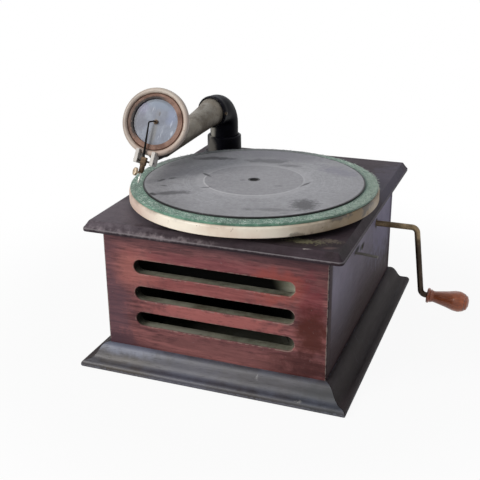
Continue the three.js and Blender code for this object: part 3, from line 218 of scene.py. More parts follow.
def newGroup(name, inputs, outputs):
    # inputs: each name with its start value, a single value, a vector or None for a vector that is linked.
    tree = bpy.data.node_groups.new(name, "ShaderNodeTree")
    for label, start in inputs.items():
        kind = "NodeSocketFloat" if isinstance(start, float) else "NodeSocketVector"
        socket = tree.interface.new_socket(label, in_out="INPUT", socket_type=kind)
        if start is not None:
            socket.default_value = start
    for label in outputs:
        tree.interface.new_socket(label, in_out="OUTPUT", socket_type="NodeSocketFloat")
    return tree, tree.nodes.new("NodeGroupInput").outputs, tree.nodes.new("NodeGroupOutput").inputs


def grouped(tree, group, vector, **inputs):
    return put(tree, "ShaderNodeGroup", {"Vector": vector, **inputs}, node_tree=group).outputs


def masked(tree, group, vector, **inputs):
    return grouped(tree, group, vector, **inputs)["Mask"]


# Wood grain: slow figure, fine streaks and short dark pores, all drawn out along the board.
woodGrain, given, made = newGroup(
    "woodGrain", {"Vector": None, "Stretch": (8.0, 60.0, 60.0), "Warp": 0.6}, ["Figure", "Streaks", "Pores"])
along = vectorMath(woodGrain, "MULTIPLY", given["Vector"], given["Stretch"])
for name, noise, low, high in (
    ("Figure", (1.0, 4.0, 0.6, given["Warp"]), 0.3, 0.7),
    ("Streaks", (7.0, 5.0, 0.65, 0.3), 0.3, 0.7),
    ("Pores", (26.0, 2.0, 0.5, 0.1), 0.62, 0.72),
):
    woodGrain.links.new(mottle(woodGrain, along, noise, low, high), made[name])

# Edge wear: 1 on the edge itself, ragged, gone at Width millimetres from it.
edgeWear, given, made = newGroup(
    "edgeWear", {"Vector": None, "Width": 1.5, "Scale": 300.0, "Ragged": 1.0, "Amount": 1.0}, ["Mask"])
edgeDistance = attribute(edgeWear, "edge", "Fac")
ragged = spread(edgeWear, cloud(edgeWear, given["Vector"], given["Scale"], 4.0, 0.7), 0.38, 0.62)
kept = minus(edgeWear, 1.0, times(edgeWear, ragged, given["Ragged"]))
pushed = larger(edgeWear, times(edgeWear, kept, given["Width"]), 0.01)
near = minus(edgeWear, 1.0, calc(edgeWear, "DIVIDE", edgeDistance, pushed))
edgeWear.links.new(times(edgeWear, spread(edgeWear, near, 0.0, 0.6), given["Amount"]), made["Mask"])

# Specks: separate small spots; Density is the share of the surface that they take.
specks, given, made = newGroup(
    "specks", {"Vector": None, "Scale": 400.0, "Density": 0.1, "Soft": 0.03}, ["Mask"])
grainy = cloud(specks, given["Vector"], given["Scale"], 3.0, 0.6)
threshold = minus(specks, 0.72, given["Density"])
above = put(specks, "ShaderNodeMapRange", {"Value": grainy, "From Min": threshold}, clamp=True)
specks.links.new(plus(specks, threshold, given["Soft"]), above.inputs["From Max"])
specks.links.new(above.outputs[0], made["Mask"])

# Scratches: thin hairs where a drawn out noise crosses its middle, kept where a second noise runs high.
scratches, given, made = newGroup(
    "scratches", {"Vector": None, "Scale": 30.0, "Angle": 0.5, "Density": 0.1}, ["Mask"])
turnedVector = put(scratches, "ShaderNodeVectorRotate", {"Vector": given["Vector"], "Angle": given["Angle"]},
                   rotation_type="Z_AXIS").outputs[0]
hair = cloud(scratches, stretched(scratches, turnedVector, (1, 26, 1)), given["Scale"], 2.0, 0.5)
patchy = plus(scratches, cloud(scratches, given["Vector"], given["Scale"], 2.0, 0.5), given["Density"])
line = spread(scratches, calc(scratches, "ABSOLUTE", minus(scratches, hair, 0.5)), 0.0, 0.012, 1.0, 0.0)
scratches.links.new(times(scratches, line, spread(scratches, patchy, 0.62, 0.7)), made["Mask"])

# Smudge: a soft ellipse, turned by Angle, its rim broken by noise.
smudge, given, made = newGroup(
    "smudge", {"Vector": None, "Centre": None, "Size": (0.01, 0.01, 1.0), "Angle": 0.0, "Ragged": 0.4,
               "Scale": 120.0}, ["Mask"])
shifted = vectorMath(smudge, "SUBTRACT", given["Vector"], given["Centre"])
turnedBack = put(smudge, "ShaderNodeVectorRotate", {"Vector": shifted, "Angle": given["Angle"]},
                 rotation_type="Z_AXIS", invert=True).outputs[0]
reach = lengthOf(smudge, vectorMath(smudge, "DIVIDE", turnedBack, given["Size"]))
noise = minus(smudge, cloud(smudge, given["Vector"], given["Scale"], 4.0, 0.65), 0.5)
broken = times(smudge, times(smudge, noise, given["Ragged"]), 4.0)
smudge.links.new(spread(smudge, plus(smudge, reach, broken), 0.35, 1.1, 1.0, 0.0), made["Mask"])

# Dust and sheen: a mask on what looks up, in drifts; some looks use it for painted sheen on upward faces.
dustAndSheen, given, made = newGroup("dustAndSheen", {"Vector": None, "Normal": None, "Scale": 60.0, "Amount": 0.5}, ["Mask"])
lookingUp = spread(dustAndSheen, part(dustAndSheen, given["Normal"], 2), 0.25, 0.95)
drift = mottle(dustAndSheen, given["Vector"], (given["Scale"], 5.0, 0.7), 0.3, 0.75)
dustAndSheen.links.new(times(dustAndSheen, times(dustAndSheen, lookingUp, drift), given["Amount"]), made["Mask"])


def newMaterial(name, **shaderValues):
    # A material, its tree, its Principled shader with the values on its own sockets, and the coordinates.
    material = bpy.data.materials.new(name)
    material.use_nodes = True
    tree = material.node_tree
    shader = tree.nodes["Principled BSDF"]
    for key, value in shaderValues.items():
        shader.inputs[key.replace("_", " ")].default_value = value
    return material, tree, shader, put(tree, "ShaderNodeTexCoord").outputs


def feed(tree, shader, **values):  # links what varies over the surface to the shader
    for key, value in values.items():
        tree.links.new(value, shader.inputs[key.replace("_", " ")])


def bump(tree, shader, height, strength=0.3, distance=0.0003):
    node = put(tree, "ShaderNodeBump", {"Height": height, "Strength": strength, "Distance": distance})
    tree.links.new(node.outputs[0], shader.inputs["Normal"])


def blot(centre, size, colour, amount=1.0, **more):  # more: angle in degrees, ragged, scale
    return {"centre": centre, "size": size, "colour": colour, "amount": amount, **more}


def patches(tree, vector, colour, blots, ragged=0.35, scale=120.0):
    # Lays soft ellipses over a colour, one after the other; a flat one goes right through the piece.
    through = 1000
    for one in blots:
        mask = masked(
            tree, smudge, vector, Centre=tuple(length * mm for length in (*one["centre"], 0)[:3]),
            Size=tuple(length * mm for length in (*one["size"], through)[:3]),
            Angle=math.radians(one.get("angle", 0)), Ragged=one.get("ragged", ragged),
            Scale=one.get("scale", scale))
        colour = tint(tree, colour, one["colour"], mask, one["amount"])
    return colour


print("stage: camera, lamps and node groups")

# What every wood starts from; each look below says what differs.
plainWood = {
    "streaks": 0.5, "warp": 0.6, "varnish": 0.0, "roughness": 0.85, "relief": 0.5, "specular": 0.3,
    "specks": 0.0, "scratches": 0.0, "ragged": 1.0, "patches": [], "marksAndShading": [],
}


def woodMaterial(name, look):
    # Grain, patches, pores, a painted light and shade ramp, dust and sheen, more patches, worn edges, hairs,
    # specks.
    look = {**plainWood, **look}
    material, tree, shader, place = newMaterial(
        name, Coat_Roughness=0.3, Coat_Weight=look["varnish"], Specular_IOR_Level=look["specular"])
    vector = place["Object"]
    grain = grouped(tree, woodGrain, vector, Stretch=look["stretch"], Warp=look["warp"])
    colour = blendColours(tree, grain["Figure"], tone(*look["dark"]), tone(*look["light"]))
    colour = tint(tree, colour, look["streak"], grain["Streaks"], look["streaks"])
    colour = patches(tree, vector, colour, look["patches"])
    colour = tint(tree, colour, look["pore"], grain["Pores"], 0.5)
    # Painted light and shade: a mottled colour ramp along one axis; on some looks a dusty film is in it too.
    if "shadingAndHaze" in look:
        shadingAndHaze = look["shadingAndHaze"]
        shadingShare = spread(tree, part(tree, vector, shadingAndHaze["axis"]), shadingAndHaze["start"] * mm, shadingAndHaze["end"] * mm, 0.0,
                      shadingAndHaze["amount"])
        drift = mottle(tree, vector, (14.0, 4.0, 0.6), 0.3, 0.7, 0.55, 1.0)
        colour = tint(tree, colour, shadingAndHaze["colour"], shadingShare, drift)
    dustAndSheenMask = masked(tree, dustAndSheen, vector, Normal=place["Normal"], Scale=45.0, Amount=look["dustAndSheen"])
    colour = tint(tree, colour, look["dustAndSheenColour"], dustAndSheenMask)
    colour = patches(tree, vector, colour, look["marksAndShading"])
    worn = masked(tree, edgeWear, vector, Width=look["wearWidth"], Scale=260.0, Ragged=look["ragged"])
    colour = tint(tree, colour, look["wornColour"], worn, look["wear"])
    if look["scratches"]:
        hairs = masked(tree, scratches, vector, Scale=26.0, Angle=0.7, Density=look["scratches"])
        colour = tint(tree, colour, look["wornColour"], hairs, 0.35)
    spots = masked(tree, specks, vector, Scale=520.0, Density=look["specks"])
    colour = tint(tree, colour, look["dustAndSheenColour"], spots, 0.6)
    matt = plus(tree, look["roughness"], times(tree, larger(tree, dustAndSheenMask, worn), 0.25))
    feed(tree, shader, Base_Color=colour, Roughness=plus(tree, matt, times(tree, grain["Streaks"], 0.06)))
    bump(tree, shader, minus(tree, times(tree, grain["Streaks"], 0.4), grain["Pores"]), look["relief"])
    return material


mahoganyFront = {
    "stretch": (7.0, 60.0, 75.0), "warp": 0.9,
    "dark": (91, 55, 57), "light": (158, 100, 98), "streak": (60, 31, 35), "pore": (50, 26, 28),
    "streaks": 0.85, "varnish": 0.05, "roughness": 0.45, "relief": 0.3, "specular": 0.2,
    "dustAndSheen": 0.3, "dustAndSheenColour": (120, 104, 104), "wearWidth": 0.75, "wear": 0.6, "wornColour": (146, 126, 116),
    "specks": 0.02,
    # Painted shadow under the board's overhang, with dust: darker purple towards the top.
    "shadingAndHaze": {"axis": 2, "start": 98, "end": 116, "amount": 0.7, "colour": (84, 62, 70)},
    "patches": [
        blot((-90, -110, 45), (24, 40, 75), (82, 60, 70), 0.7),
        blot((-62, -110, 84), (24, 40, 20), (160, 98, 90), 0.6),
        blot((0, -110, 76), (72, 40, 9), (146, 78, 76), 0.55),
        blot((6, -110, 98), (80, 40, 7), (122, 62, 68), 0.55),
        # Painted highlight: a pale pink band between the lower two slots.
        blot((4, -110, 54), (74, 40, 8), (168, 98, 94), 0.7),
        blot((52, -110, 88), (30, 40, 16), (150, 70, 58), 0.55),
        blot((78, -110, 76), (12, 40, 30), (112, 44, 52), 0.6),
        blot((78, -110, 54), (15, 40, 26), (66, 20, 8), 0.9),
        blot((70, -110, 24), (44, 40, 15), (54, 16, 14), 0.85),
        blot((0, -110, 24), (78, 40, 13), (126, 80, 78), 0.6),
        blot((-84, -110, 18), (24, 40, 16), (66, 42, 50), 0.7),
    ],
}
mahoganySide = {
    "stretch": (60.0, 7.0, 75.0), "dark": (50, 38, 42), "light": (66, 50, 55), "streak": (44, 32, 36),
    "pore": (34, 26, 29), "streaks": 0.6, "roughness": 0.55, "relief": 0.2, "specular": 0.06,
    "dustAndSheen": 0.3, "dustAndSheenColour": (118, 112, 120), "wearWidth": 0.5, "wear": 0.35, "wornColour": (122, 112, 112),
    # Painted sheen of a bluish light, with a dusty film: lavender grey towards the top.
    "shadingAndHaze": {"axis": 2, "start": 34, "end": 108, "amount": 0.92, "colour": (174, 166, 183)},
    "patches": [
        blot((90, -60, 60), (40, 40, 48), (62, 56, 64), 0.4),
        blot((90, 0, 22), (40, 140, 22), (40, 26, 26), 0.8),
    ],
    "marksAndShading": [
        # Painted sheen at the upper back.
        blot((90, 80, 86), (40, 70, 50), (142, 136, 164), 0.5),
        # Painted shade: dark patches round the holes in the side.
        blot((90, -26, 89.8), (6, 11, 3.2), (8, 6, 8), ragged=0.06),
        blot((90, -7, 86), (6, 10, 3), (8, 6, 8), ragged=0.06),
        blot((90, 46.3, 87.6), (6, 5, 4.4), (22, 18, 20), ragged=0.06),
    ],
}
boardLook = {
    "stretch": (8.0, 60.0, 60.0), "dark": (42, 32, 37), "light": (66, 53, 60), "streak": (36, 28, 33),
    "pore": (28, 22, 26), "roughness": 0.52, "relief": 0.25, "specular": 0.1,
    "dustAndSheen": 0.45, "dustAndSheenColour": (90, 82, 88), "wearWidth": 0.5, "wear": 0.85, "wornColour": (128, 122, 125),
    "ragged": 0.3,
    # Painted shade: the nose darker below its arris.
    "shadingAndHaze": {"axis": 2, "start": 118.3, "end": 117.7, "amount": 0.75, "colour": (42, 33, 38)},
    "specks": 0.01,
    "patches": [
        blot((-80, -90, 123), (60, 44, 20), (114, 105, 112), 0.78),
        # Painted sheen: bluish light over the back right.
        blot((100, 60, 123), (26, 70, 20), (92, 88, 104), 0.6),
        # Painted shadow of the platter on the board.
        blot((4, -28, 123), (112, 112, 30), (34, 24, 23), 0.85, ragged=0.12),
        blot((60, -108, 123), (30, 9, 20), (52, 46, 40), 0.6, scale=300.0),
        blot((98, -106, 123), (14, 18, 20), (30, 24, 24), 0.7),
        blot((90, -110, 123), (7, 3, 20), (112, 92, 90), 0.6, angle=20),
        blot((75, -116.6, 123), (4.0, 0.55, 20), (170, 162, 158), angle=6, ragged=0.3, scale=400.0),
        blot((68, -103, 123), (17, 5, 20), (128, 124, 96), 0.8, ragged=1.0, scale=500.0),
        blot((86, -97, 123), (10, 4, 20), (126, 116, 98), 0.7, ragged=1.0, scale=600.0),
    ],
    "marksAndShading": [blot((-50, -125, 120), (78, 6, 4), (166, 154, 158), 0.85)],
}
plinthLook = {
    "stretch": (7.0, 55.0, 55.0), "dark": (50, 46, 46), "light": (76, 74, 80), "streak": (46, 42, 40),
    "pore": (32, 29, 28), "varnish": 0.1, "roughness": 0.38, "relief": 0.3,
    # The bluish dust on the cove and the bluish worn edges at the top bead and nose are partly painted
    # highlights.
    "dustAndSheen": 0.6, "dustAndSheenColour": (96, 101, 116), "wearWidth": 0.7, "wear": 0.45, "wornColour": (112, 114, 126),
    "scratches": 0.01,
    "patches": [
        blot((-70, -122, 6), (34, 12, 10), (74, 66, 56), 0.6),
        # Painted sheen: bluish light on the cove at the left.
        blot((-72, -112, 16), (48, 10, 8), (120, 126, 146), 0.6),
        blot((-20, -120, 8), (40, 20, 20), (72, 72, 84), 0.6),
        blot((90, -122, 8), (32, 16, 16), (44, 46, 48), 0.75),
        blot((74, -125, 6), (4, 2, 1.4), (156, 154, 150), 0.6, ragged=0.8, scale=500.0),
        blot((38, -117, 14), (1.4, 2, 3.6), (150, 148, 148), 0.6, ragged=0.8, scale=500.0),
    ],
}
plinthSideLook = {
    **plinthLook, "stretch": (55.0, 7.0, 55.0), "dark": (40, 33, 33), "light": (58, 50, 52), "dustAndSheen": 0.25,
    "dustAndSheenColour": (78, 72, 76), "roughness": 0.5, "varnish": 0.0, "specular": 0.08, "patches": [],
}
slotLook = {
    "stretch": (9.0, 60.0, 60.0), "dark": (74, 68, 56), "light": (118, 114, 98), "streak": (66, 60, 48),
    "pore": (46, 42, 34), "streaks": 0.7,
    "dustAndSheen": 0.7, "dustAndSheenColour": (146, 146, 130), "wearWidth": 0.4, "wear": 0.5, "wornColour": (150, 146, 130),
    "specks": 0.02, "specular": 0.15,
    # Painted shade: darker deeper into the slots.
    "shadingAndHaze": {"axis": 1, "start": -107.5, "end": -103, "amount": 0.6, "colour": (22, 20, 18)},
    "patches": [
        # Painted shade at the left ends of the three slots.
        blot((-68, -106, 87.5), (24, 30, 16), (20, 18, 17), 0.95, ragged=0.1),
        blot((-68, -106, 66.5), (20, 30, 16), (24, 22, 20), 0.9, ragged=0.1),
        blot((-68, -106, 44.5), (18, 30, 16), (24, 22, 20), 0.9, ragged=0.1),
        blot((30, -106, 82), (36, 20, 5), (46, 43, 37), 0.85, ragged=0.4),
        blot((34, -106, 38), (34, 20, 5), (70, 70, 58), 0.75, ragged=0.6),
        # Painted light on the lit inner walls at the right ends of the upper two slots.
        blot((70, -106, 87), (14, 20, 12), (176, 174, 152), 0.8),
        blot((72, -106, 66), (16, 20, 12), (164, 162, 142), 0.8),
        blot((-26, -106, 38), (34, 20, 5), (162, 160, 148), 0.5, ragged=0.4),
    ],
}
rawLook = {
    "stretch": (9.0, 60.0, 60.0), "dark": (92, 86, 70), "light": (138, 134, 114), "streak": (84, 78, 62),
    "pore": (60, 55, 44),
    "dustAndSheen": 0.9, "dustAndSheenColour": (150, 152, 138), "wearWidth": 0.8, "wear": 0.5, "wornColour": (168, 164, 146),
    "specks": 0.02,
}
frontWood = woodMaterial("mahogany_front", mahoganyFront)
sideWood = woodMaterial("mahogany_side", mahoganySide)
boardWood = woodMaterial("board_wood", boardLook)
plinthWood = woodMaterial("plinth_wood", plinthLook)
plinthSideWood = woodMaterial("plinth_side_wood", plinthSideLook)
rawWood = woodMaterial("raw_wood", rawLook)
slotWood = woodMaterial("slot_wood", slotLook)
# Painted light: the end faces lighter towards the top, like the side walls.
seamWood = woodMaterial("seam_wood", {**mahoganySide, "dark": (46, 32, 34), "light": (60, 42, 44), "shadingAndHaze": {
    "axis": 2, "start": 60, "end": 118, "amount": 0.4, "colour": (84, 74, 86)}, "wearWidth": 0.7, "wear": 0.5,
    "wornColour": (150, 140, 134)})


plainMetal = {
    "patchScale": 70.0, "pits": 0.05, "pitColour": (60, 48, 38), "wearWidth": 0.8, "wear": 0.5,
    "wornColour": (170, 165, 155), "dustAndSheen": 0.25, "dustAndSheenColour": (150, 148, 142), "metallic": 0.85,
    "roughness": 0.35, "roughVaries": 0.2, "relief": 0.25, "specular": 0.4, "patches": [],
}


def metalMaterial(name, look):
    # Two shades in patches, pits, worn edges, dust and sheen, and where asked, painted shade towards the
    # bottom.
    look = {**plainMetal, **look}
    material, tree, shader, place = newMaterial(name, Coat_Roughness=0.2, Specular_IOR_Level=look["specular"])
    vector = place["Object"]
    patch = mottle(tree, vector, (look["patchScale"], 5.0, 0.65), 0.35, 0.65)
    colour = blendColours(tree, patch, tone(*look["base"]), tone(*look["second"]))
    pits = masked(tree, specks, vector, Scale=look["patchScale"] * 9, Density=look["pits"])
    colour = tint(tree, colour, look["pitColour"], pits, 0.7)
    colour = patches(tree, vector, colour, look["patches"])
    worn = masked(tree, edgeWear, vector, Width=look["wearWidth"], Scale=420.0)
    colour = tint(tree, colour, look["wornColour"], worn, look["wear"])
    dustAndSheenMask = masked(tree, dustAndSheen, vector, Normal=place["Normal"], Scale=90.0, Amount=look["dustAndSheen"])
    colour = tint(tree, colour, look["dustAndSheenColour"], dustAndSheenMask)
    if "low" in look:
        low = look["low"]
        shade = spread(tree, part(tree, vector, 2), low["end"] * mm, low["start"] * mm, low["amount"], 0.0)
        colour = tint(tree, colour, low["colour"], shade)
    cover = larger(tree, times(tree, pits, 0.6), dustAndSheenMask)
    shine = minus(tree, look["metallic"], times(tree, cover, look["metallic"]))
    varied = times(tree, larger(tree, patch, cover), look["roughVaries"])
    feed(tree, shader, Base_Color=colour, Metallic=shine, Roughness=plus(tree, look["roughness"], varied))
    bump(tree, shader, minus(tree, times(tree, patch, 0.3), pits), look["relief"], 0.00015)
    return material


enamel = metalMaterial("black_enamel", {
    "base": (5, 5, 10), "second": (10, 10, 18), "pits": 0.03, "pitColour": (60, 54, 48),
    # The pale bluish dust on its upward faces is partly a painted highlight.
    "wear": 0.75, "wornColour": (120, 116, 108), "dustAndSheen": 0.1, "dustAndSheenColour": (72, 70, 86), "metallic": 0.0,
    "roughness": 0.36, "roughVaries": 0.14, "wearWidth": 0.6, "specular": 0.05,
    # Painted reflections: a pale band on the left of the riser and a pale stripe at the collar's top.
    "patches": [
        blot((-76.5, 79, 150), (5, 5.5, 16), (142, 139, 131), 0.9, ragged=0.15),
        blot((-77.5, 75, 133), (8, 8, 12), (112, 109, 104), 0.6, ragged=0.3),
    ],
})
nickel = metalMaterial("dull_nickel", {
    "base": (124, 117, 105), "second": (94, 85, 74), "pits": 0.06, "pitColour": (66, 54, 44),
    # Its heavy pale dust is partly painted light on the tube's upper side.
    "wornColour": (150, 146, 138), "dustAndSheen": 0.85, "dustAndSheenColour": (152, 148, 140), "metallic": 0.4,
    "roughness": 0.42, "roughVaries": 0.25, "patchScale": 55.0,
})
darkNickel = metalMaterial("dark_nickel", {
    "base": (62, 57, 52), "second": (40, 36, 34), "pitColour": (40, 32, 26), "metallic": 0.5,
    "roughness": 0.4, "dustAndSheen": 0.15,
})
darkSteel = metalMaterial("dark_steel", {
    "base": (44, 36, 30), "second": (24, 20, 18), "pits": 0.08, "pitColour": (96, 62, 36),
    "wear": 0.5, "wornColour": (150, 128, 100), "dustAndSheen": 0.1, "patchScale": 160.0,
})
paleBronze = metalMaterial("pale_bronze", {
    "base": (190, 170, 146), "second": (140, 116, 88), "pits": 0.08, "pitColour": (84, 62, 42),
    "patchScale": 220.0, "metallic": 0.6, "wornColour": (222, 212, 196),
})
brightSteel = metalMaterial("bright_steel", {
    "base": (226, 226, 222), "second": (196, 194, 188), "metallic": 0.6, "roughness": 0.3, "dustAndSheen": 0.0,
    "pits": 0.02,
})
innerSteel = metalMaterial("inner_steel", {
    "base": (120, 118, 112), "second": (92, 86, 78), "pits": 0.06, "dustAndSheen": 0.4, "dustAndSheenColour": (110, 104, 92),
})
brass = metalMaterial("brass", {
    "base": (168, 132, 66), "second": (118, 88, 44), "pits": 0.05, "pitColour": (70, 78, 52),
    "wornColour": (214, 184, 118), "dustAndSheen": 0.35, "dustAndSheenColour": (120, 106, 78),
})
crankSteel = metalMaterial("crank_steel", {
    "base": (164, 142, 110), "second": (110, 92, 68), "pits": 0.07, "pitColour": (52, 40, 30),
    "wear": 0.4, "wornColour": (178, 152, 108), "metallic": 0.55, "roughness": 0.38, "dustAndSheen": 0.3,
    "dustAndSheenColour": (150, 136, 108), "patchScale": 90.0,
    # Painted shade: darker towards the bottom of the bent down part.
    "low": {"start": 84, "end": 70, "amount": 0.9, "colour": (44, 32, 26)},
})
# Near black and matt: the stylus bar's own black; on the spindle it is painted shade for its hole.
blackIronAndShade = metalMaterial("black_iron_and_shade", {
    "base": (17, 16, 15), "second": (12, 11, 10), "metallic": 0.0, "roughness": 0.7, "dustAndSheen": 0.0,
    "wear": 0.0, "specular": 0.15,
})
rustySteel = metalMaterial("rusty_steel", {
    "base": (104, 82, 58), "second": (66, 50, 36), "pits": 0.1, "pitColour": (44, 32, 24),
    "metallic": 0.4, "roughness": 0.5, "patchScale": 240.0, "dustAndSheen": 0.15, "wear": 0.4,
    "wornColour": (160, 140, 112),
})


def hornMaterial(name):
    # Dark inside: black at the left and deep in, pale with dust on its floor and painted light at its right
    # front.
    material, tree, shader, place = newMaterial(name, Roughness=0.85, Specular_IOR_Level=0.1)
    vector = place["Object"]
    mottled = mottle(tree, vector, (60.0, 5.0, 0.7), 0.3, 0.7)
    pale = blendColours(tree, mottled, tone(206, 206, 178), tone(245, 246, 228))
    right = spread(tree, part(tree, vector, 0), 40 * mm, 60 * mm)
    front = spread(tree, part(tree, vector, 1), -20 * mm, -80 * mm)
    lookingUp = spread(tree, part(tree, place["Normal"], 2), 0.5, 0.9)
    ground = times(tree, lookingUp, times(tree, front, 0.2))
    # Painted light on the right front wall, dust on the floor.
    litAndDusted = larger(tree, times(tree, right, front), ground)
    feed(tree, shader, Base_Color=blendColours(tree, litAndDusted, tone(14, 14, 13), pale))
    bump(tree, shader, mottled, 0.3)
    return material


hornMetal = hornMaterial("horn_metal")
rubber = metalMaterial("motor_rubber", {
    "base": (38, 38, 38), "second": (28, 27, 27), "metallic": 0.0, "roughness": 0.75, "wear": 0.2,
})


def paintBase(name, look):
    # Old cream paint: warm clouds over the base colour.
    material, tree, shader, place = newMaterial(name, Coat_Weight=0.15, Coat_Roughness=0.35)
    vector = place["Object"]
    warm = mottle(tree, vector, (22.0, 4.0, 0.6), 0.35, 0.65)
    colour = blendColours(tree, warm, tone(*look["base"]), tone(*look["warm"]))
    return material, tree, shader, vector, warm, colour


def paintFinish(tree, shader, vector, warm, colour):
    # Rust specks and worn edges end every paint.
    rust = masked(tree, specks, vector, Scale=240.0, Density=0.045, Soft=0.04)
    colour = tint(tree, colour, (112, 78, 52), rust, 0.8)
    worn = masked(tree, edgeWear, vector, Width=0.7, Scale=380.0)
    colour = tint(tree, colour, (120, 104, 88), worn, 0.4)
    roughness = plus(tree, 0.42, times(tree, larger(tree, rust, warm), 0.25))
    feed(tree, shader, Base_Color=colour, Roughness=roughness)
    bump(tree, shader, minus(tree, warm, rust), 0.2)


def rimMaterial(name, look, top):
    # The platter's rim: brown stains to the right, pink to the left, dirt patches and grime at its top.
    material, tree, shader, vector, warm, colour = paintBase(name, look)
    brown = times(tree, spread(tree, part(tree, vector, 0), 40 * mm, 92 * mm, 0.0, 0.95),
                  mottle(tree, vector, (40.0, 5.0, 0.7), 0.2, 0.6, 0.5, 1.0))
    colour = tint(tree, colour, look["stain"], brown)
    pink = spread(tree, part(tree, vector, 0), -15 * mm, -75 * mm, 0.0, 0.8)
    colour = tint(tree, colour, look["pink"], pink)
    colour = patches(tree, vector, colour, [
        blot((90, -80, top), (16, 12, 3.4), (58, 52, 48), 0.85, ragged=0.8),
        blot((102, -52, top), (8, 14, 6), (66, 62, 60), 0.8, ragged=0.8),
        blot((70, -106, top - 8), (12, 10, 2.4), (84, 72, 60), 0.7, ragged=0.9),
    ])
    grime = times(tree, spread(tree, part(tree, vector, 2), (top - 3.5) * mm, top * mm, 0.0, 1.0),
                  mottle(tree, vector, (45.0, 4.0, 0.6), 0.4, 0.66))
    colour = tint(tree, colour, look["dirt"], grime, 0.45)
    paintFinish(tree, shader, vector, warm, colour)
    return material


def ringMaterial(name, look, brownWithin):
    # The sound box's ring: rust brown and painted shade inside a radius that wanders a little, soiled at its
    # left.
    material, tree, shader, vector, warm, colour = paintBase(name, look)
    local = attribute(tree, "flat", "Vector")
    # Brown inside: a rust stain with painted shade on the inner slope.
    uneven = times(tree, minus(tree, cloud(tree, vector, 90.0, 4.0, 0.6), 0.5), 3 * mm)
    inside = spread(tree, plus(tree, lengthOf(tree, local), uneven), (brownWithin - 0.7) * mm,
                    (brownWithin + 0.9) * mm, 0.9, 0.0)
    colour = tint(tree, colour, look["stain"], inside)
    soiled = times(tree, spread(tree, part(tree, local, 0), -10 * mm, -25 * mm, 0.0, 0.75),
                   mottle(tree, vector, (60.0, 4.0, 0.7), 0.3, 0.7, 0.4, 1.0))
    colour = tint(tree, colour, look["soil"], soiled)
    paintFinish(tree, shader, vector, warm, colour)
    return material


def lugMaterial(name, look):
    material, *parts = paintBase(name, look)
    paintFinish(*parts)
    return material


platterPaint = rimMaterial("cream_paint", {
    "base": (242, 233, 216), "warm": (222, 202, 184), "stain": (146, 122, 88), "pink": (204, 178, 165),
    "dirt": (74, 62, 48),
}, nodeBox("platter")[1][2])
ringPaint = ringMaterial("ring_paint", {
    "base": (192, 182, 170), "warm": (178, 158, 146), "stain": (134, 102, 84), "soil": (126, 108, 98),
}, 23.3)
lugPaint = lugMaterial("lug_metal", {"base": (232, 228, 222), "warm": (200, 194, 188)})


def feltMaterial(name, base, light, dark):
    # Felt: mottled green, tangled pale hairs, trodden darker places, faded to the right and grey behind.
    material, tree, shader, place = newMaterial(name, Roughness=0.95, Sheen_Weight=0.3, Sheen_Roughness=0.6)
    vector = place["Object"]
    colour = blendColours(tree, mottle(tree, vector, (170.0, 5.0, 0.7), 0.3, 0.7), tone(*base), tone(*light))
    colour = tint(tree, colour, dark, mottle(tree, vector, (34.0, 4.0, 0.6), 0.5, 0.72), 0.7)
    hairs = mottle(tree, stretched(tree, vector, (1, 1, 3)), (900.0, 3.0, 0.7), 0.58, 0.72)
    colour = tint(tree, colour, (156, 180, 160), hairs, 0.55)
    across = part(tree, vector, 0)
    colour = tint(tree, colour, (132, 152, 136), spread(tree, across, 40 * mm, 100 * mm, 0.0, 0.5))
    backLeft = minus(tree, part(tree, vector, 1), times(tree, across, 0.6))
    colour = tint(tree, colour, (102, 104, 106), spread(tree, backLeft, 15 * mm, 70 * mm, 0.0, 0.9))
    feed(tree, shader, Base_Color=colour)
    bump(tree, shader, cloud(tree, vector, 700.0, 4.0, 0.8), 0.9, 0.0006)
    return material


felt = feltMaterial("green_felt", (62, 104, 86), (104, 150, 128), (52, 78, 64))
feltHair = feltMaterial("felt_hair", (190, 212, 198), (240, 246, 238), (140, 172, 156))

# The record: worn grooves, grey dust, darker wiped places; centres are from the spindle, +X right.
recordMarks = [
    blot((56, -46), (13, 17), (66, 65, 68), 0.85, ragged=0.3, angle=15, scale=330.0),
    blot((36, -64), (26, 4.5), (86, 85, 88), 0.55, angle=14),
    blot((-56, 46), (24, 6.5), (66, 65, 70), 0.85, angle=17),
    blot((-6, 55), (23, 8), (70, 69, 74), 0.8, angle=14, ragged=0.5),
    blot((14, 47), (13, 5), (84, 83, 88), 0.6, angle=6),
    blot((-66, 4), (22, 24), (112, 108, 120), 0.2),
    blot((-41.4, -0.2), (9.5, 2.0), (62, 61, 64), 0.9, angle=-40, ragged=0.2),
    blot((-28.7, -31), (6, 1.3), (70, 69, 72), 0.85, angle=20, ragged=0.2),
    blot((-49, -53), (19, 6.5), (82, 81, 84), 0.8, angle=30, ragged=0.4),
    blot((-61, -60), (4.5, 3), (34, 34, 36), 0.9, angle=-40),
    blot((-69.6, -26.2), (2.2, 5), (60, 59, 62), 0.85, angle=-20),
    blot((-61.4, -38.7), (3.2, 1.6), (70, 69, 72), 0.8),
    blot((-63.2, -18.2), (2.6, 4.5), (66, 65, 68), 0.8, angle=-30),
    blot((42.5, 1.8), (8.5, 1.6), (66, 64, 68), 0.85, angle=72, ragged=0.25),
    blot((24.6, -9.4), (4.5, 1.8), (96, 95, 98), 0.7, angle=20),
    blot((-7.6, -4.2), (3.4, 1.3), (84, 80, 82), 0.8, angle=20),
    blot((48, -67.8), (6, 1.1), (86, 85, 88), 0.7, angle=22),
    blot((60, 44), (26, 13), (122, 120, 134), 0.6, angle=-32),
    blot((-10, 84), (70, 34), (112, 110, 118), 0.75, ragged=0.2),
]

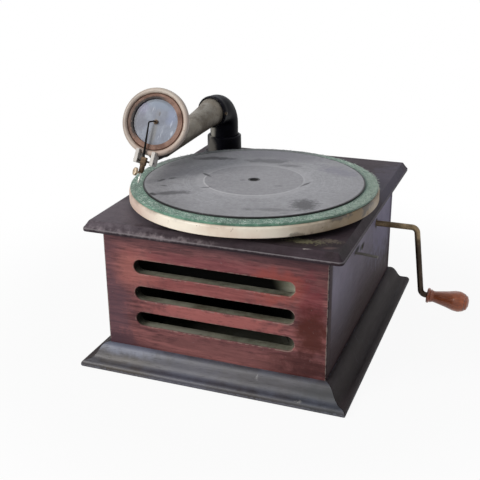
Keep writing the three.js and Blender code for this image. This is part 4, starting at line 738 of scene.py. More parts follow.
# On the mica, from its centre: the bar's painted reflection, middle stains, painted sky at top, painted shade
# at left.
micaStainsAndLight = [
    blot((0.3, -9, 0), (3.2, 15, 50), (122, 122, 125), 0.85, ragged=0.12),
    blot((0.0, 8, 0), (1.5, 5, 50), (112, 114, 124), 0.7, ragged=0.3, scale=400.0),
    blot((1.6, 7, 0), (1.1, 2.4, 50), (70, 66, 66), 0.7, scale=500.0),
    blot((-13, 8, 0), (6, 8, 50), (112, 108, 146), 0.5),
    blot((-13, -2, 0), (7, 12, 50), (66, 70, 88), 0.7),
    blot((0, 14, 0), (13, 5, 50), (112, 128, 150), 0.6),
    blot((12, 6, 0), (5, 9, 50), (126, 138, 172), 0.5),
    blot((0, 0, 0), (2.6, 2.6, 50), (92, 76, 68), 0.8, ragged=0.3, scale=500.0),
]


def recordMaterial(name, centre, labelRadius, outerRadius):
    # Rings are functions of the distance from the spindle: fine grooves, run-out band, bare label.
    material, tree, shader, place = newMaterial(name, Specular_IOR_Level=0.25)
    vector = place["Object"]
    shift = tuple(-np.array(centre) * mm)
    local = put(tree, "ShaderNodeMapping", {"Vector": vector, "Location": shift}).outputs[0]
    distance = lengthOf(tree, vectorMath(tree, "MULTIPLY", local, (1, 1, 0)))

    def ring(start, end, toLow=0.0, toHigh=1.0):  # eases between two radii
        return spread(tree, distance, start * mm, end * mm, toLow, toHigh)

    clouds = mottle(tree, vector, (16.0, 5.0, 0.6), 0.3, 0.7)
    colour = blendColours(tree, clouds, tone(149, 148, 151), tone(186, 185, 189))
    colour = tint(tree, colour, (110, 108, 110), mottle(tree, vector, (300.0, 4.0, 0.75), 0.3, 0.7), 0.42)
    rings = put(tree, "ShaderNodeCombineXYZ", {0: distance}).outputs[0]
    grooved = ring(labelRadius + 6, labelRadius + 8)
    bands = times(tree, mottle(tree, rings, (520.0, 3.0, 0.8), 0.35, 0.65), grooved)
    colour = tint(tree, colour, (104, 103, 107), bands, 0.22)
    runOut = times(tree, ring(labelRadius - 0.5, labelRadius + 2),
                   ring(labelRadius + 5, labelRadius + 8, 1.0, 0.0))
    colour = tint(tree, colour, (180, 178, 181), runOut, 0.3)
    colour = tint(tree, colour, (116, 113, 117), ring(labelRadius - 1, labelRadius, 0.3, 0.0))
    lineOut = times(tree, ring(labelRadius - 0.6, labelRadius),
                    ring(labelRadius + 0.6, labelRadius + 1.4, 0.45, 0.0))
    colour = tint(tree, colour, (206, 204, 206), lineOut)
    colour = patches(tree, local, colour, recordMarks, 0.4, 130.0)
    # Painted shade: near black round the spindle hole.
    colour = tint(tree, colour, (30, 28, 30), ring(4.4, 5.4, 0.95, 0.0))
    colour = tint(tree, colour, (24, 24, 25), ring(outerRadius - 1.7, outerRadius - 0.9))
    hairs = masked(tree, scratches, local, Scale=34.0, Angle=0.9, Density=0.05)
    colour = tint(tree, colour, (176, 174, 176), hairs, 0.3)
    feed(tree, shader, Base_Color=colour, Roughness=plus(tree, 0.48, times(tree, clouds, 0.15)))
    groovePitch = 0.55 * mm
    groove = calc(tree, "SINE", times(tree, distance, 2 * math.pi / groovePitch))
    bump(tree, shader, times(tree, groove, grooved), 0.22, 0.00008)
    return material


recordLow, recordHigh = nodeBox("record")
spindleXY = (recordLow[:2] + recordHigh[:2]) / 2
recordRadius = (recordHigh[0] - recordLow[0]) / 2
shellac = recordMaterial("shellac", (*spindleXY, 0.0), 40.0, recordRadius)


def gasketMaterial(name):
    # Aged rubber, shaded in a crescent at its left.
    material, tree, shader, place = newMaterial(name, Specular_IOR_Level=0.4)
    vector = place["Object"]
    patch = mottle(tree, vector, (130.0, 5.0, 0.7), 0.35, 0.65)
    colour = blendColours(tree, patch, tone(132, 98, 82), tone(100, 72, 60))
    colour = patches(tree, vector, colour, [blot((-92, -56, 190), (14, 34, 22), (82, 66, 58), 0.65)])
    local = attribute(tree, "flat", "Vector")
    towards = minus(tree, times(tree, part(tree, local, 1), 0.5), part(tree, local, 0))  # grows to the left
    shade = times(tree, spread(tree, lengthOf(tree, local), 21.0 * mm, 19.6 * mm),
                  spread(tree, towards, 0.0, 11 * mm, 0.0, 0.96))
    colour = tint(tree, colour, (20, 15, 17), shade)
    spots = masked(tree, specks, vector, Scale=900.0, Density=0.08)
    colour = tint(tree, colour, (190, 160, 140), spots, 0.5)
    feed(tree, shader, Base_Color=colour, Roughness=plus(tree, 0.5, times(tree, patch, 0.2)))
    bump(tree, shader, patch, 0.4, 0.0002)
    return material


def micaMaterial(name):
    # Mica: pale lilac-blue, faint radial flakes, the bar's grey painted reflection under the centre, painted
    # rim shade.
    material, tree, shader, _ = newMaterial(
        name, Roughness=0.28, Specular_IOR_Level=0.5, Coat_Weight=0.25, Coat_Roughness=0.15)
    local = attribute(tree, "flat", "Vector")
    reach = lengthOf(tree, local)
    colour = blendColours(tree, mottle(tree, local, (90.0, 5.0, 0.6), 0.3, 0.7), tone(92, 98, 115),
                          tone(124, 132, 148))
    flakes = mottle(tree, stretched(tree, local, (1, 0.25, 1)), (420.0, 4.0, 0.7, 0.8), 0.56, 0.7)
    flakes = times(tree, flakes, spread(tree, reach, 4 * mm, 13 * mm))
    colour = tint(tree, colour, (206, 214, 228), flakes, 0.6)
    towards = minus(tree, part(tree, local, 1), part(tree, local, 0))  # grows to the upper left
    rimShade = times(tree, spread(tree, reach, 15.3 * mm, 16.8 * mm), spread(tree, towards, -2 * mm, 16 * mm))
    colour = tint(tree, colour, (30, 24, 27), rimShade, 0.92)
    colour = patches(tree, local, colour, micaStainsAndLight)
    feed(tree, shader, Base_Color=colour)
    bump(tree, shader, cloud(tree, local, 120.0, 3.0, 0.5), 0.08, 0.0003)
    return material


def handleMaterial(name):
    # Varnished fruitwood turned along the rod: long streaks, darker on the flange and the tip.
    material, tree, shader, place = newMaterial(name, Coat_Weight=0.35, Coat_Roughness=0.15)
    vector = place["Object"]
    grain = grouped(tree, woodGrain, vector, Stretch=(30.0, 130.0, 130.0), Warp=0.4)
    colour = blendColours(tree, grain["Figure"], tone(152, 66, 20), tone(202, 102, 44))
    colour = tint(tree, colour, (112, 54, 26), grain["Streaks"], 0.45)
    colour = tint(tree, colour, (74, 36, 20), grain["Pores"], 0.5)
    colour = tint(tree, colour, (84, 42, 24), masked(tree, edgeWear, vector, Width=1.2, Scale=300.0), 0.7)
    feed(tree, shader, Base_Color=colour, Roughness=plus(tree, 0.3, times(tree, grain["Streaks"], 0.15)))
    bump(tree, shader, minus(tree, grain["Streaks"], grain["Pores"]), 0.12)
    return material


gasketRubber = gasketMaterial("gasket_rubber")
mica = micaMaterial("mica")
handleWood = handleMaterial("turned_wood")
print("stage: materials")


far = 9.0  # an edge distance out of reach of any wear


def gridQuads(rows, columns, closeRows, closeColumns):
    # Each quad joins (row, column) with its neighbours in the next row and column.
    row, column = np.meshgrid(np.arange(rows - (not closeRows)), np.arange(columns - (not closeColumns)),
                              indexing="ij")
    row, column = row.ravel(), column.ravel()
    nextRow, nextColumn = (row + 1) % rows, (column + 1) % columns
    return np.stack([row * columns + column, row * columns + nextColumn,
                     nextRow * columns + nextColumn, nextRow * columns + column], axis=1)


def shell(points, closeRows=False, closeColumns=True, caps=False, edge=99.0, material=0):
    # One grid of points (rows, columns, 3) with what makePiece needs to know of it. edge is the distance to
    # the nearest arris: one value, one for each row, or one for each point.
    edge = np.asarray(edge, float)
    edge = np.broadcast_to(edge[:, None] if edge.ndim == 1 else edge, points.shape[:2])
    return {"points": points, "closeRows": closeRows, "closeColumns": closeColumns, "caps": caps,
            "edge": edge, "material": material}


def makePiece(name, body, shells, materials, replaces=(), sharp=38.0):
    # Shells are merged where they meet, their faces turned outwards and shaded smooth up to sharp degrees.
    points, faces, edges, materialIndex, start = [], [], [], [], 0
    for one in shells:
        rows, columns = one["points"].shape[:2]
        quads = gridQuads(rows, columns, one["closeRows"], one["closeColumns"]) + start
        faces += quads.tolist()
        materialIndex += [one["material"]] * len(quads)
        if one["caps"]:
            last = start + (rows - 1) * columns
            faces += [list(range(start, start + columns)), list(range(last, last + columns))]
            materialIndex += [one["material"]] * 2
        points.append(one["points"].reshape(-1, 3))
        edges.append(one["edge"].ravel())
        start += rows * columns
    mesh = bpy.data.meshes.new(name)
    mesh.from_pydata((np.concatenate(points) * mm).tolist(), [], faces)
    distances = mesh.attributes.new("edge", "FLOAT", "POINT").data  # to the nearest arris, for the wear
    distances.foreach_set("value", np.concatenate(edges).astype(np.float32))
    mesh.polygons.foreach_set("material_index", materialIndex)
    work = bmesh.new()
    work.from_mesh(mesh)
    bmesh.ops.remove_doubles(work, verts=work.verts, dist=2e-6)
    bmesh.ops.dissolve_degenerate(work, edges=work.edges, dist=1e-7)
    bmesh.ops.recalc_face_normals(work, faces=work.faces)
    work.to_mesh(mesh)
    work.free()
    mesh.polygons.foreach_set("use_smooth", np.ones(len(mesh.polygons), bool))
    mesh.set_sharp_from_angle(angle=math.radians(sharp))
    for material in materials:
        mesh.materials.append(material)
    piece = bpy.data.objects.new(name, mesh)
    bpy.context.scene.collection.objects.link(piece)
    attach(piece, body)
    if replaces:
        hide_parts(*replaces)
    return piece


def roundCorners(corners, radii, steps=6, closed=False):
    # Every corner becomes an arc touching both its sides: spokes from the arc's centre, mixed by sines.
    corner = np.asarray(corners, float)
    radius = np.broadcast_to(np.asarray(radii, float), len(corner)).copy()
    back, ahead = np.roll(corner, 1, 0) - corner, np.roll(corner, -1, 0) - corner
    backLength = np.maximum(np.linalg.norm(back, axis=1), 1e-9)
    aheadLength = np.maximum(np.linalg.norm(ahead, axis=1), 1e-9)
    back, ahead = back / backLength[:, None], ahead / aheadLength[:, None]
    half = np.arccos(np.clip((back * ahead).sum(1), -1, 1)) / 2
    half = np.clip(half, 1e-4, math.pi / 2 - 1e-5)
    touch = np.minimum(radius / np.tan(half), 0.49 * np.minimum(backLength, aheadLength))
    radius = touch * np.tan(half)
    middle = back + ahead
    middle /= np.maximum(np.linalg.norm(middle, axis=1), 1e-9)[:, None]
    centre = corner + middle * (radius / np.sin(half))[:, None]
    first, last = corner + back * touch[:, None] - centre, corner + ahead * touch[:, None] - centre
    turn = (math.pi - 2 * half)[:, None]
    share = np.linspace(0, 1, steps + 1)[None, :]
    weightFirst, weightLast = np.sin((1 - share) * turn) / np.sin(turn), np.sin(share * turn) / np.sin(turn)
    arcs = centre[:, None] + weightFirst[..., None] * first[:, None] + weightLast[..., None] * last[:, None]
    if closed:
        return arcs.reshape(-1, corner.shape[1])
    inner = arcs[1:-1].reshape(-1, corner.shape[1])
    return np.concatenate([corner[:1], inner, corner[-1:]])


def lathe(profile, sides, place, wobble=None, **more):
    # Each (radius, height) of the profile goes round the Z axis, the radius scaled by wobble of the angle.
    # A profile that keeps clear of the axis closes on itself. place moves the points to where they belong.
    profile = np.asarray(profile, float)
    angle = np.arange(sides) * 2 * math.pi / sides
    radius = profile[:, :1] * (1 if wobble is None else wobble(angle)[None, :])
    heights = np.repeat(profile[:, 1:2], sides, axis=1)
    points = np.stack([radius * np.cos(angle), radius * np.sin(angle), heights], axis=2)
    return shell(place(points), bool(profile[:, 0].min() > 1e-6), **more)


def placed(points, origin, xAxis, yAxis, zAxis):
    # Local coordinates times the three axes, added to the origin.
    return np.asarray(origin) + points @ np.stack([xAxis, yAxis, zAxis])


def swept(path, radius, reference, sides=40):
    # Circles about the path; their first spoke is the path's direction cross the reference.
    path = np.asarray(path, float)
    radius = np.broadcast_to(np.asarray(radius, float), len(path))
    tangent = np.gradient(path, axis=0)
    tangent /= np.linalg.norm(tangent, axis=1)[:, None]
    side = np.cross(tangent, reference)
    side /= np.linalg.norm(side, axis=1)[:, None]
    up = np.cross(side, tangent)
    angle = np.arange(sides) * 2 * math.pi / sides
    return path[:, None] + radius[:, None, None] * (
        np.cos(angle)[None, :, None] * side[:, None] + np.sin(angle)[None, :, None] * up[:, None])


def evenly(path, count):
    # The same path with count places at even distances along it.
    steps = np.concatenate([[0], np.cumsum(np.linalg.norm(np.diff(path, axis=0), axis=1))])
    keep = np.concatenate([[True], np.diff(steps) > 1e-9])
    places = np.linspace(0, steps[-1], count)
    return np.stack([np.interp(places, steps[keep], path[keep, k]) for k in range(path.shape[1])], axis=1)


def block(half, power=0.22, rows=24, columns=48):
    # A rounded block: the sphere's sines and cosines raised to a small power, times the half sizes.
    tall = np.linspace(-math.pi / 2, math.pi / 2, rows)[:, None]
    around = (np.arange(columns) * 2 * math.pi / columns)[None, :]

    def bent(value):
        return np.sign(value) * np.abs(value) ** power

    x = half[0] * bent(np.cos(tall)) * bent(np.cos(around))
    y = half[1] * bent(np.cos(tall)) * bent(np.sin(around))
    return np.stack([x, y, half[2] * bent(np.sin(tall)) * np.ones_like(around)], axis=2)


def boardShells(low, high, holes, borders, rim, lip, place, cornerRadius=0.6, wallMaterial=0, rimMaterial=0,
                rimEdge=None, lipEdge=None):
    # A flat board with a row of holes: s runs along the holes' length, t across the row, depth into the
    # board. Each band between two borders is a sheet, its points mixed by even shares between the hole's
    # outline and the band's own. Rim and lip are lists of (inset or outset, depth) that carry the faces
    # round the edges; place turns s, t and depth into x, y and z.
    low, high = np.array(low, float), np.array(high, float)
    middle, half = (low + high) / 2, (high - low) / 2
    alongCount, acrossCount = 72, 36
    rim, lip = np.asarray(rim, float), np.asarray(lip, float)
    rimEdge = np.zeros(len(rim)) if rimEdge is None else np.asarray(rimEdge, float)
    lipEdge = np.zeros(len(lip)) if lipEdge is None else np.asarray(lipEdge, float)

    def onRim(side, along, inset):
        # side 0 bottom, 1 right, 2 top, 3 left; along is measured from the board's middle.
        reach, out = (half[0], half[1]) if side % 2 == 0 else (half[1], half[0])
        radius = max(cornerRadius, inset + 0.02)
        left = reach - np.abs(along)
        bend = np.where(left < radius, (1 - np.clip(left, 0, radius) / radius) * math.pi / 4, 0.0)
        curved = np.sign(along) * (reach - radius + (radius - inset) * np.sin(bend))
        a = np.where(left < radius, curved, along)
        b = np.where(left < radius, out - radius + (radius - inset) * np.cos(bend), out - inset)
        sign = -1 if side in (0, 3) else 1
        pair = (a, sign * b) if side % 2 == 0 else (sign * b, a)
        return np.stack(pair, axis=-1) + middle

    def ease(count):  # steps that are short at both ends, by the cosine
        return (1 - np.cos(np.linspace(0, math.pi, count + 1))) / 2

    def isOuter(side, band):
        return side % 2 == 1 or (side == 0 and band == 0) or (side == 2 and band == len(holes) - 1)

    def sheet(flat, depth, **more):
        return shell(np.stack(place(flat[..., 0], flat[..., 1], depth), -1), **more)

    shells = []
    for band, hole in enumerate(holes):
        bottom, top = borders[band], borders[band + 1]
        sweepS = (2 * ease(alongCount) - 1) * half[0]
        sweepT = bottom + ease(acrossCount) * (top - bottom) - middle[1]

        def bandOutline(inset):
            sides = []
            for side in range(4):
                along = sweepS if side % 2 == 0 else sweepT
                if isOuter(side, band):
                    points = onRim(side, along, inset)
                else:
                    level = np.full(len(along), bottom if side == 0 else top)
                    points = np.stack([middle[0] + along * (half[0] - inset) / half[0], level], -1)
                sides.append((points if side in (0, 1) else points[::-1])[:-1])
            return np.concatenate(sides)

        def holeOutline(outset):
            # Four quarter arcs, and straight sides between them on a slot.
            radius, straight = hole["radius"] + outset, hole.get("straight", 0.0)
            span = (2 * ease(alongCount) - 1) * (straight + radius * math.sqrt(0.5))
            over = np.clip(np.abs(span) - straight, 0, None) / radius
            x = np.where(np.abs(span) <= straight, span, np.sign(span) * (straight + radius * over))
            y = -radius * np.sqrt(np.clip(1 - over**2, 0, 1))
            angle = (2 * ease(acrossCount) - 1) * math.pi / 4
            flat = np.stack([x, y], -1)[:-1]
            end = np.stack([straight + radius * np.cos(angle), radius * np.sin(angle)], -1)[:-1]
            return np.concatenate([flat, end, -flat, -end]) + np.array(hole["centre"])

        shares = np.array([0, 0.015, 0.04, 0.1, 0.25, 0.5, 0.75, 0.9, 0.96, 0.985, 1])
        for which in (0, -1):
            outer = bandOutline(rim[which, 0])
            if hole is None:
                inner = np.repeat(((outer.min(0) + outer.max(0)) / 2)[None], len(outer), 0)
            else:
                inner = holeOutline(lip[which, 0])
            flat = inner[None] + shares[:, None, None] * (outer - inner)[None]
            toRim = np.minimum(half - rim[which, 0] - np.abs(flat - middle), 99).min(-1)
            edge = np.clip(toRim, 0, 99) + rimEdge[which]
            if hole is not None:
                offset = np.abs(flat - np.array(hole["centre"])) - np.array([hole.get("straight", 0.0), 0])
                toHole = np.linalg.norm(np.maximum(offset, 0), axis=-1) - hole["radius"] - lip[which, 0]
                edge = np.minimum(edge, np.clip(toHole, 0, 99) + lipEdge[which])
            depth = np.full(flat.shape[:2], rim[which, 1] if hole is None else lip[which, 1])
            shells.append(sheet(flat, depth, edge=edge))
        if hole is not None:
            walls = np.stack([holeOutline(outset) for outset in lip[:, 0]])
            depth = np.repeat(lip[:, 1:2], walls.shape[1], axis=1)
            if wallMaterial:  # the rounded lip keeps the face's finish
                split = int(np.argmin(np.abs(lip[:, 0] - lip[:, 0].min()))) + 1
                shells.append(sheet(walls[:split], depth[:split], edge=lipEdge[:split]))
                walls, depth, wallEdge = walls[split - 1:], depth[split - 1:], lipEdge[split - 1:]
            else:
                wallEdge = lipEdge
            shells.append(sheet(walls, depth, edge=wallEdge, material=wallMaterial))
        for side in filter(lambda side: isOuter(side, band), range(4)):
            along = sweepS if side % 2 == 0 else sweepT
            strip = np.stack([onRim(side, along, inset) for inset in rim[:, 0]])
            depth = np.repeat(rim[:, 1:2], strip.shape[1], axis=1)
            shells.append(sheet(strip, depth, closeColumns=False, edge=rimEdge, material=rimMaterial))
    return shells


def softRim(thickness, radius=0.7, steps=4):
    # A quarter circle over the front edge, a straight side, a quarter circle under the back edge.
    angle = np.linspace(0, math.pi / 2, steps + 1)
    front = np.stack([radius * (1 - np.sin(angle)), radius * (1 - np.cos(angle))], -1)
    back = np.stack([front[::-1, 0], thickness - front[::-1, 1]], -1)
    return np.concatenate([front, back])


print("stage: surface functions")

frontLow, frontHigh = nodeBox("front_panel")
rightLow, rightHigh = nodeBox("right_panel")
leftLow, leftHigh = nodeBox("left_panel")
backLow, backHigh = nodeBox("back_panel")
slotCut = {"count": 3, "length": 130, "height": 11.6, "pitch": 22.2, "top": 87.5, "lip": 0.7}
sideHoles = {"crank": 4.0, "speed": 2.4, "brake": 1.4}  # radii

slotHeights = [slotCut["top"] - i * slotCut["pitch"] for i in reversed(range(slotCut["count"]))]
slotEnds = {"radius": slotCut["height"] / 2, "straight": (slotCut["length"] - slotCut["height"]) / 2}
slotHoles = [{"centre": (0.0, height), **slotEnds} for height in slotHeights]
slotBorders = [frontLow[2], *[(a + b) / 2 for a, b in zip(slotHeights, slotHeights[1:])], frontHigh[2]]
wall = frontHigh[1] - frontLow[1]
frontRim, frontLip = softRim(wall, 0.7), softRim(wall, slotCut["lip"])
rimDepth = frontRim[:, 1]  # as far as the arris is behind, so wear stays on the arris
makePiece(
    "front_wall", "cabinet",
    boardShells(frontLow[[0, 2]], frontHigh[[0, 2]], slotHoles, slotBorders, frontRim, frontLip,
                lambda s, t, depth: (s, frontLow[1] + depth, t), wallMaterial=1, rimMaterial=2,
                rimEdge=rimDepth, lipEdge=frontLip[:, 1] + 0.25),
    [frontWood, slotWood, seamWood], ["front_panel"],
)

crankPlace = jointPlace("crank_turn")[0]
speedPlace = jointPlace("speed_screw_turn")[0]
brakePlace = np.array([0.0, -31.2, 89.4])  # the brake rod's line, as its node's straight part lies
holePlaces = {"crank": crankPlace, "speed": speedPlace, "brake": brakePlace}
holeRow = sorted((place[1], place[2], sideHoles[name]) for name, place in holePlaces.items())
rightHoles = [{"centre": (height, along), "radius": radius} for along, height, radius in holeRow]
rightBorders = [rightLow[1], *[(a[0] + b[0]) / 2 for a, b in zip(holeRow, holeRow[1:])], rightHigh[1]]
sideWall = rightHigh[0] - rightLow[0]
makePiece(
    "right_wall", "cabinet",
    boardShells(rightLow[[2, 1]], rightHigh[[2, 1]], rightHoles, rightBorders, softRim(sideWall, 0.5),
                softRim(sideWall, 0.3), lambda s, t, depth: (rightHigh[0] - depth, t, s), wallMaterial=1),
    [sideWood, rawWood], ["right_panel"],
)
plainWalls = {
    "left": (leftLow[[1, 2]], leftHigh[[1, 2]], softRim(sideWall, 0.5),
             lambda s, t, depth: (leftLow[0] + depth, s, t)),
    "back": (backLow[[0, 2]], backHigh[[0, 2]], softRim(wall, 0.7),
             lambda s, t, depth: (s, backHigh[1] - depth, t)),
}
for name, (low, high, rim, place) in plainWalls.items():
    shells = boardShells(low, high, [None], [low[1], high[1]], rim, rim, place)
    makePiece(name + "_wall", "cabinet", shells, [sideWood], [name + "_panel"])

# Top board: a nose, a hollow bevel with a crisp arris, and the two holes under platter and arm.
boardShape = {"bevelRun": 4.6, "nose": 2.5, "throat": 10.5, "spindleHole": 8.0, "corner": 4.0}
boardLow, boardHigh = nodeBox("top_board")
boardThick = boardHigh[2] - boardLow[2]
run, rise = boardShape["bevelRun"], boardThick - boardShape["nose"]
bevelShare = np.linspace(0, 1, 9)
bevel = np.stack([run * (1 - bevelShare) ** 0.85, rise * bevelShare], -1)
nose = roundCorners([[0, rise], [0, boardThick], [1.2, boardThick]], [0, 0.8, 0])
boardRim = np.concatenate([[[run + 0.3, 0]], bevel[:-1] + [0, 0.04], [[0.12, rise - 0.08]], nose])
rimDistance = np.concatenate([[far], 6 * (1 - bevelShare[:-1]), [0.0], 0.2 + np.linspace(0, 4, len(nose))])
armPlace = jointPlace("arm_swing")[0]
boardHoles = [
    {"centre": tuple(spindleXY), "radius": boardShape["spindleHole"]},
    {"centre": tuple(armPlace[:2]), "radius": boardShape["throat"]},
]
makePiece(
    "top_slab", "cabinet",
    boardShells(boardLow[:2], boardHigh[:2], boardHoles, [boardLow[1], 30.0, boardHigh[1]], boardRim,
                softRim(boardThick, 0.4), lambda s, t, depth: (s, t, boardHigh[2] - depth),
                cornerRadius=boardShape["corner"], rimEdge=rimDistance, lipEdge=np.full(10, far)),
    [boardWood], ["top_board"], sharp=30,
)
print("stage: walls and board")


def ogee(height, steps=14):
    # Three joined cubic curves: a round shoulder, a hollow and a nose; (share of the reach, height).
    controls = np.array([
        [[0, 1], [0.22, 1], [0.3, 0.86], [0.45, 0.56]],
        [[0.45, 0.56], [0.56, 0.36], [0.66, 0.3], [0.8, 0.3]],
        [[0.8, 0.3], [0.93, 0.3], [1, 0.2], [1, 0.08]],
    ])
    t = np.linspace(0, 1, steps)[:, None, None]
    weights = [(1 - t) ** 3, 3 * t * (1 - t) ** 2, 3 * t**2 * (1 - t), t**3]
    curve = sum(w * controls[None, :, k] for k, w in enumerate(weights))
    curve = np.swapaxes(curve, 0, 1).reshape(-1, 2)
    foot = np.array([[0.995, 0.04], [0.97, 0.0], [0.0, 0.0]])
    return np.concatenate([curve, foot]) * [1, height]


noseLow = np.minimum(nodeBox("plinth_left")[0], nodeBox("plinth_front")[0])
noseHigh = np.maximum(nodeBox("plinth_right")[1], nodeBox("plinth_back")[1])
plinthProfile = ogee(nodeBox("plinth_front")[1][2])
plinthGap = 0.3


def rectangle(low, high):  # its corners from above: front left, front right, back right, back left
    return np.array([[low[0], low[1]], [high[0], low[1]], [high[0], high[1]], [low[0], high[1]]])


wallCorners = rectangle(frontLow, (frontHigh[0], backHigh[1]))
noseCorners = rectangle(noseLow[:2] + plinthGap, noseHigh[:2] - plinthGap)
plinthRows = 60
plinthEdge = np.concatenate([np.linspace(0, 9, 14), np.full(14, far), np.linspace(3, 0, 14), [0.3, 0.6, far]])
# Each length is a sheet: the profile across it, from wall corner to nose corner, and straight lines along it
# from one mitre to the next.
for index, name in enumerate(["plinth_front", "plinth_right", "plinth_back", "plinth_left"]):
    after = (index + 1) % 4
    corners = np.array([[wallCorners[index], noseCorners[index]], [wallCorners[after], noseCorners[after]]])
    share = plinthProfile[None, :, :1]
    ends = corners[:, :1] + share * (corners[:, 1:] - corners[:, :1])
    alongRun = np.linspace(0, 1, plinthRows)[:, None, None]
    flat = ends[0] + alongRun * (ends[1] - ends[0])
    direction = unit(wallCorners[after] - wallCorners[index])
    flat = flat + np.array([direction[1], -direction[0]]) * plinthGap
    heights = np.broadcast_to(plinthProfile[None, :, 1:], (*flat.shape[:2], 1))
    points = np.concatenate([flat, heights], axis=2)
    moulding = shell(points, caps=True, edge=np.broadcast_to(plinthEdge[None], points.shape[:2]))
    finish = plinthWood if name in ("plinth_front", "plinth_back") else plinthSideWood
    makePiece(name.replace("plinth", "moulding"), "cabinet", [moulding], [finish], [name])
print("stage: plinth")

platterLow, platterHigh = nodeBox("platter")
platterShape = {"sheet": 1.5, "hub": 9.0, "bore": 3.3, "bead": 1.8, "foot": 0.7}
platterRadius = (platterHigh[0] - platterLow[0]) / 2
rimFoot = nodeBox("felt_mat")[0][2] - 0.1 - 8.5
inner = platterRadius - platterShape["sheet"]
sheetUnder = platterHigh[2] - platterShape["sheet"]
platterProfile = roundCorners([
    [platterShape["bore"], platterLow[2]], [platterShape["hub"], platterLow[2]],
    [platterShape["hub"] + 2, sheetUnder], [inner, sheetUnder], [inner, rimFoot],
    [platterRadius, rimFoot], [platterRadius, platterHigh[2]], [platterShape["bore"], platterHigh[2]],
], [0, 0.5, 2, 1.5, 0.5, platterShape["foot"], platterShape["bead"], 0], 8, closed=True)
onSkirt = platterProfile[:, 0] > platterRadius - 0.9
rimDistances = np.where(onSkirt, np.abs(platterProfile[:, 1] - rimFoot), far)


def aboutSpindle(points):
    return points + np.array([*spindleXY, 0.0])


makePiece("platter_pan", "turntable",
          [lathe(platterProfile, 256, aboutSpindle, edge=rimDistances)], [platterPaint], ["platter"])

feltLow, feltHigh = nodeBox("felt_mat")
feltShape = {"radius": (feltHigh[0] - feltLow[0]) / 2, "hole": 5.0, "fibres": 3400, "seed": 11}
rng = np.random.default_rng(feltShape["seed"])


def frayed(amount, waves, highest):
    # A sum of sines of random order and phase: the cut edge wanders in and out a little.
    order = rng.integers(9, highest, waves)
    phase = rng.uniform(0, 2 * math.pi, waves)
    return lambda angle: 1 + amount * np.sin(order[:, None] * angle[None] + phase[:, None]).mean(0)


feltProfile = roundCorners([
    [feltShape["hole"], feltLow[2]], [feltShape["radius"] - 0.5, feltLow[2]],
    [feltShape["radius"] - 0.2, feltHigh[2]], [feltShape["hole"], feltHigh[2]],
], [0, 0.4, 0.9, 0], 6, closed=True)
makePiece("felt_disc", "turntable", [lathe(feltProfile, 420, aboutSpindle, frayed(0.004, 24, 160))],
          [felt], ["felt_mat"])

# Loose fibres: short arcs with three sides, tapering, thrown about on the bare ring and over its edge.
count, rings, sides = feltShape["fibres"], 5, 3
tangled = rng.uniform(0, 1, count) < 0.3  # these gather at the right and stray past the edge
ringAngle = np.where(tangled, rng.normal(0.0, 0.45, count), rng.uniform(0, 2 * math.pi, count))
ringRadius = recordRadius + 0.8 + (feltShape["radius"] - recordRadius - 1.2) * rng.uniform(0, 1, count) ** 0.8
ringRadius = ringRadius + tangled * rng.uniform(-0.5, 1.8, count)
heading = rng.uniform(0, 2 * math.pi, count)
fibreLength = rng.uniform(0.9, 3.4, count)
bendAngle = rng.uniform(-1.2, 1.2, count)
lift = rng.uniform(0.05, 0.5, count) * np.where(tangled, 2.2, 1.0)
t = np.linspace(-0.5, 0.5, rings)
course = heading[:, None] + bendAngle[:, None] * t[None]
steps = fibreLength[:, None] / (rings - 1)
x = np.cumsum(np.cos(course) * steps, 1)
y = np.cumsum(np.sin(course) * steps, 1)
x, y = x - x.mean(1, keepdims=True), y - y.mean(1, keepdims=True)
x = x + (ringRadius * np.cos(ringAngle))[:, None] + spindleXY[0]
y = y + (ringRadius * np.sin(ringAngle))[:, None] + spindleXY[1]
z = feltHigh[2] - 0.02 + lift[:, None] * (t[None] + 0.5) ** 2
middleLine = np.stack([x, y, z], -1)
thick = 0.1 * (1 - (2 * np.abs(t)) ** 3 * 0.75)
spoke = np.arange(sides) * 2 * math.pi / sides
sideways = np.stack([-np.sin(course), np.cos(course), np.zeros_like(course)], -1)
upward = np.array([0, 0, 1.0])
fibrePoints = middleLine[:, :, None] + thick[None, :, None, None] * (
    np.cos(spoke)[None, None, :, None] * sideways[:, :, None] + np.sin(spoke)[None, None, :, None] * upward)
makePiece("felt_fibres", "turntable", [shell(fibre, caps=True) for fibre in fibrePoints], [feltHair])

recordShape = {"hole": 3.4, "label": 40.0, "labelRise": 0.2, "edge": 0.55, "runOut": 46.5}
recordTop = recordHigh[2]
playedTop = recordTop - recordShape["labelRise"]
recordProfile = roundCorners([
    [recordShape["hole"], recordLow[2]], [recordRadius, recordLow[2]], [recordRadius, recordTop - 0.12],
    [recordRadius - 2.2, recordTop - 0.1], [recordShape["runOut"] + 0.6, playedTop],
    [recordShape["runOut"], playedTop - 0.05], [recordShape["label"] + 0.8, playedTop],
    [recordShape["label"], recordTop], [recordShape["hole"], recordTop],
], [0, recordShape["edge"], recordShape["edge"], 0.6, 0.1, 0.1, 0.3, 0.3, 0.1], 5, closed=True)
makePiece("record_disc", "record", [lathe(recordProfile, 256, aboutSpindle)], [shellac],
          ["record"])
print("stage: turntable and record")

